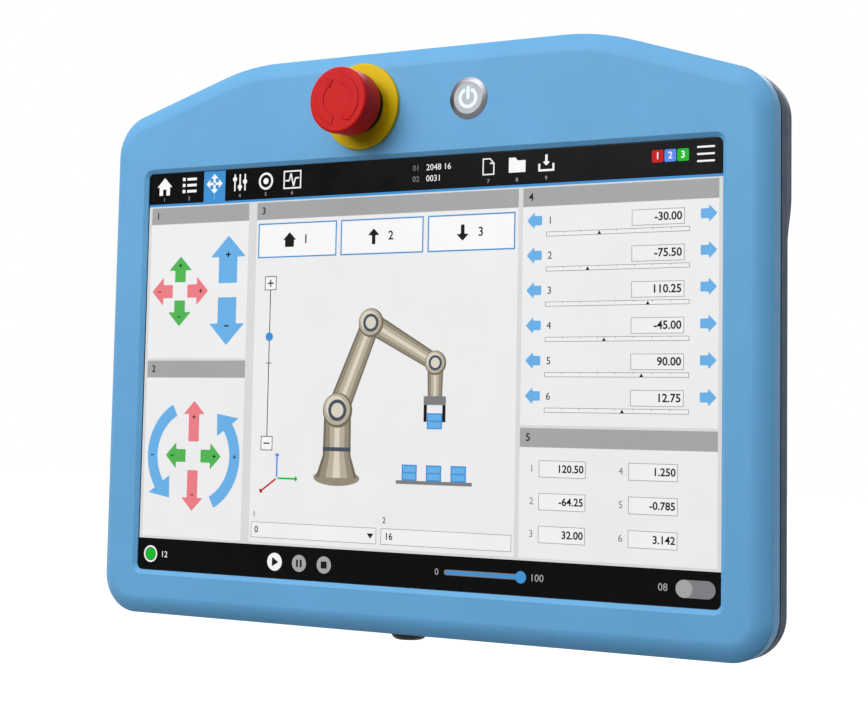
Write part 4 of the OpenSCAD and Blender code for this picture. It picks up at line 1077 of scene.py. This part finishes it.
def footer(screen):
    z = PLAY_Z
    screen.ring("white", 2, -125.0, z, 3.5, 0.7)
    screen.disc("go", 2, -125.0, z, 2.5)
    screen.number("white", 2, "12", -119.5, z, 2.6, "LEFT", 0)
    screen.disc("white", 2, -61.0, z, 3.6)
    screen.polygon("ink", 3, [(-62.2, z - 1.9), (-62.2, z + 1.9), (-59.1, z)])
    screen.disc("bar", 2, -49.0, z, 3.4)
    for side in (-1, 1):
        screen.bar("ink", 3, -49.0 + side * 0.9, z, 0.9, 3.0)
    screen.disc("bar", 2, -37.0, z, 3.4)
    screen.bar("ink", 3, -37.0, z, 2.8, 2.8)
    screen.number("bar", 2, "0", 16.0, z + 0.2, 2.6, "RIGHT", 0)
    screen.rect("grey", 2, 18.4, z - 0.75, 53.5, z + 1.35, 1.0)
    screen.rect("tab", 3, 18.9, z - 0.35, 51.5, z + 0.95, 0.6)
    screen.disc("tab", 4, 51.6, z + 0.3, 2.3)
    screen.number("bar", 2, "100", 55.4, z + 0.2, 2.8, "LEFT", 0)
    screen.number("bar", 2, "08", 111.0, z, 2.8, "RIGHT", 0)
    screen.rect("grey", 2, 114.0, z - 3.2, 129.2, z + 3.2, 3.1)
    screen.disc("bar", 3, 117.3, z, 3.2)


# ---- other fittings

def dress_nodes():
    """Finishes on the CAD nodes that keep their own shape."""
    black = plastic("black_plastic", (17, 17, 18), 0.45, specular=0.2)
    steel = metal("screw_steel", (150, 153, 157), 0.35)
    sheet = metal("sheet_metal", (176, 179, 184), 0.4)
    seal = rubber("seal_rubber", (22, 22, 23))
    brass = metal("brass", (200, 168, 92), 0.35)
    board = plastic("circuit_board", (14, 82, 48), 0.35, 0.6)
    chip = plastic("chip_plastic", (34, 34, 36), 0.5)
    pale = plastic("pale_plastic", (222, 217, 202), 0.45)
    finishes = {
        black: ("stop_nut", "power_switch_body", "data_socket_tongue", "gland_nut"),
        steel: ("casing_screws", "chassis_screws", "board_screws", "port_cap_pin"),
        sheet: ("chassis", "data_socket", "power_nut"),
        seal: ("casing_seal", "glass_gasket", "foam_gasket"),
        brass: ("board_standoffs", "stop_terminals"),
        board: ("main_board", "port_board"),
        chip: ("processor", "board_parts", "display_panel"),
        pale: ("board_connectors", "stop_shaft"),
        metal("bare_aluminium", (205, 207, 210), 0.4): ("heat_spreader",),
        plastic("ribbon_film", (196, 136, 62), 0.3): ("display_ribbon",),
        plastic("red_block", (176, 60, 46), 0.5): ("stop_contact_block",),
        plastic("red_lead", (180, 26, 24), 0.4): ("stop_lead",),
        plastic("blue_lead", (36, 44, 168), 0.4): ("power_lead",),
        rubber("cap_rubber", (46, 49, 54)): ("port_cap",),
        rubber("grip_rubber", (40, 42, 46)): ("grip_pad_left", "grip_pad_right"),
        Finish("screen_glass", (9, 9, 10), 0.16, specular=0.3).mottle(40, 0.1).sheen(15, 0.05).material:
            ("touch_glass",),
    }
    for material, nodes in finishes.items():
        for node in nodes:
            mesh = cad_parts[node].data
            mesh.materials.clear()
            mesh.materials.append(material)
    return black


# ---- stage

CAMERA_AT = (370.1, -614.4, -20.8)
CAMERA_TURN = (30.323, 4.818, 1.082)    # swing to the left, rise and roll, in degrees
CAMERA_LENS = 75.73
CAMERA_SHIFT = (0.0046, -0.0956)
FLOOR_DROP = 0.16                       # metres from the casing down to the floor
FLOOR_HALF = 6
WHITE_RAYS = ("Is Camera Ray", "Is Glossy Ray", "Is Transmission Ray")
LAMPS = (                               # name, place in metres, width, height and power
    ("high key", (-0.75, -1.45, 1.3), 1.6, 1.3, 10),
    ("low key", (-0.8, -1.5, 0.85), 1.3, 1.0, 7),
    ("front", (-0.45, -1.6, 0.72), 1.2, 1.2, 15.5),
    ("top", (0.15, -0.8, 1.6), 0.9, 0.9, 8.5),
    ("high right", (0.8, -0.6, 1.45), 0.9, 0.9, 4.5),
    ("right", (1.2, 0.6, 0.25), 0.6, 0.6, 4.8),
    ("back", (-0.3, 1.3, 0.8), 1.0, 1.0, 12),
)


def add_camera():
    """Camera from the right and a little below, looking slightly up, as the photograph was taken."""
    swing, rise, roll = (math.radians(a) for a in CAMERA_TURN)
    ahead = Vector((-math.sin(swing) * math.cos(rise), math.cos(swing) * math.cos(rise), math.sin(rise)))
    level = Vector((math.cos(swing), math.sin(swing), 0))
    above = level.cross(ahead)
    right = level * math.cos(roll) + above * math.sin(roll)
    up = above * math.cos(roll) - level * math.sin(roll)
    data = bpy.data.cameras.new("camera")
    data.lens = CAMERA_LENS
    data.sensor_width = 36
    data.shift_x, data.shift_y = CAMERA_SHIFT
    data.clip_start = 0.01
    camera = add_object("camera", data)
    axes = Matrix((right, up, -ahead)).transposed().to_4x4()
    camera.matrix_world = Matrix.Translation(place(*CAMERA_AT)) @ axes
    bpy.context.scene.camera = camera


def add_lamp(name, spot, width, height, power):
    """Elliptic area lamp that faces the middle of the part."""
    data = bpy.data.lights.new(name, "AREA")
    data.shape = "ELLIPSE"
    data.size = width
    data.size_y = height
    data.energy = power
    aim = (cad_box[0] + cad_box[1]) / 2 - Vector(spot)
    turn = aim.to_track_quat("-Z", "Y").to_matrix().to_4x4()
    add_object(name, data).matrix_world = Matrix.Translation(spot) @ turn


def white_to_camera(tree, surface, white, output):
    """Shows white to the camera and in reflections, and the surface's own shader to all other rays."""
    path = add_node(tree, "LightPath")
    share = path.outputs[WHITE_RAYS[0]]
    for kind in WHITE_RAYS[1:]:
        share = add_node(tree, "Math", share, path.outputs[kind], operation="MAXIMUM").outputs["Value"]
    mix = add_node(tree, "MixShader", share, surface, white)
    tree.links.new(mix.outputs["Shader"], tree.nodes[output].inputs["Surface"])


def add_world():
    world = bpy.data.worlds.new("studio")
    world.use_nodes = True
    bpy.context.scene.world = world
    tree = world.node_tree
    ambient = tree.nodes["Background"]
    ambient.inputs["Color"].default_value = (0.95, 0.97, 1.0, 1)
    ambient.inputs["Strength"].default_value = 0.03
    backdrop = add_node(tree, "Background", Color=(1, 1, 1, 1))
    white_to_camera(tree, ambient.outputs[0], backdrop.outputs[0], "World Output")


def add_floor():
    z = cad_box[0].z - FLOOR_DROP
    corners = [(x * FLOOR_HALF, y * FLOOR_HALF, z) for x, y in ((-1, -1), (1, -1), (1, 1), (-1, 1))]
    mesh = bpy.data.meshes.new("floor")
    mesh.from_pydata(corners, [], [(0, 1, 2, 3)])
    floor = add_object("floor", mesh)
    material = bpy.data.materials.new("pale_floor")
    material.use_nodes = True
    tree = material.node_tree
    shader = tree.nodes["Principled BSDF"]
    shader.inputs["Base Color"].default_value = (0.1, 0.1, 0.1, 1)
    shader.inputs["Roughness"].default_value = 0.9
    glow = add_node(tree, "Emission", Strength=far_glow(tree))
    both = add_node(tree, "AddShader", shader.outputs[0], glow.outputs[0])
    white_to_camera(tree, shader.outputs[0], both.outputs[0], "Material Output")
    mesh.materials.append(material)


def far_glow(tree):
    """Own light of the floor: less round the object, where its shadow lies, and white far off."""
    spot = add_node(tree, "TexCoord").outputs["Object"]
    away = add_node(tree, "VectorMath", spot, operation="LENGTH").outputs["Value"]
    return add_node(tree, "MapRange", Value=away, From_Min=0.55, From_Max=1.1,
                    To_Min=0.88, To_Max=1.0).outputs["Result"]


def main():
    add_camera()
    add_world()
    add_floor()
    for lamp in LAMPS:
        add_lamp(*lamp)
    black = dress_nodes()
    make_front_cover(plastic("blue_cover", (102, 168, 216), 0.5, specular=0.22))
    make_rear_cover(plastic("grey_cover", (38, 54, 76), 0.52, specular=0.15))
    red = plastic("red_head", (203, 24, 24), 0.45, specular=0.12)
    yellow = plastic("yellow_disc", (220, 186, 8), 0.5, specular=0.1)
    stop_disc(*middle("stop_disc"), yellow)
    stop_head(*middle("stop_disc"), red)
    stop_collar(*middle("stop_disc"), black)
    make_gland(black)
    for make in (power_ring, power_cap, power_symbol):
        make(*middle("power_ring"))
    make_screen()


main()
scene = bpy.context.scene
scene.view_settings.view_transform = "Standard"
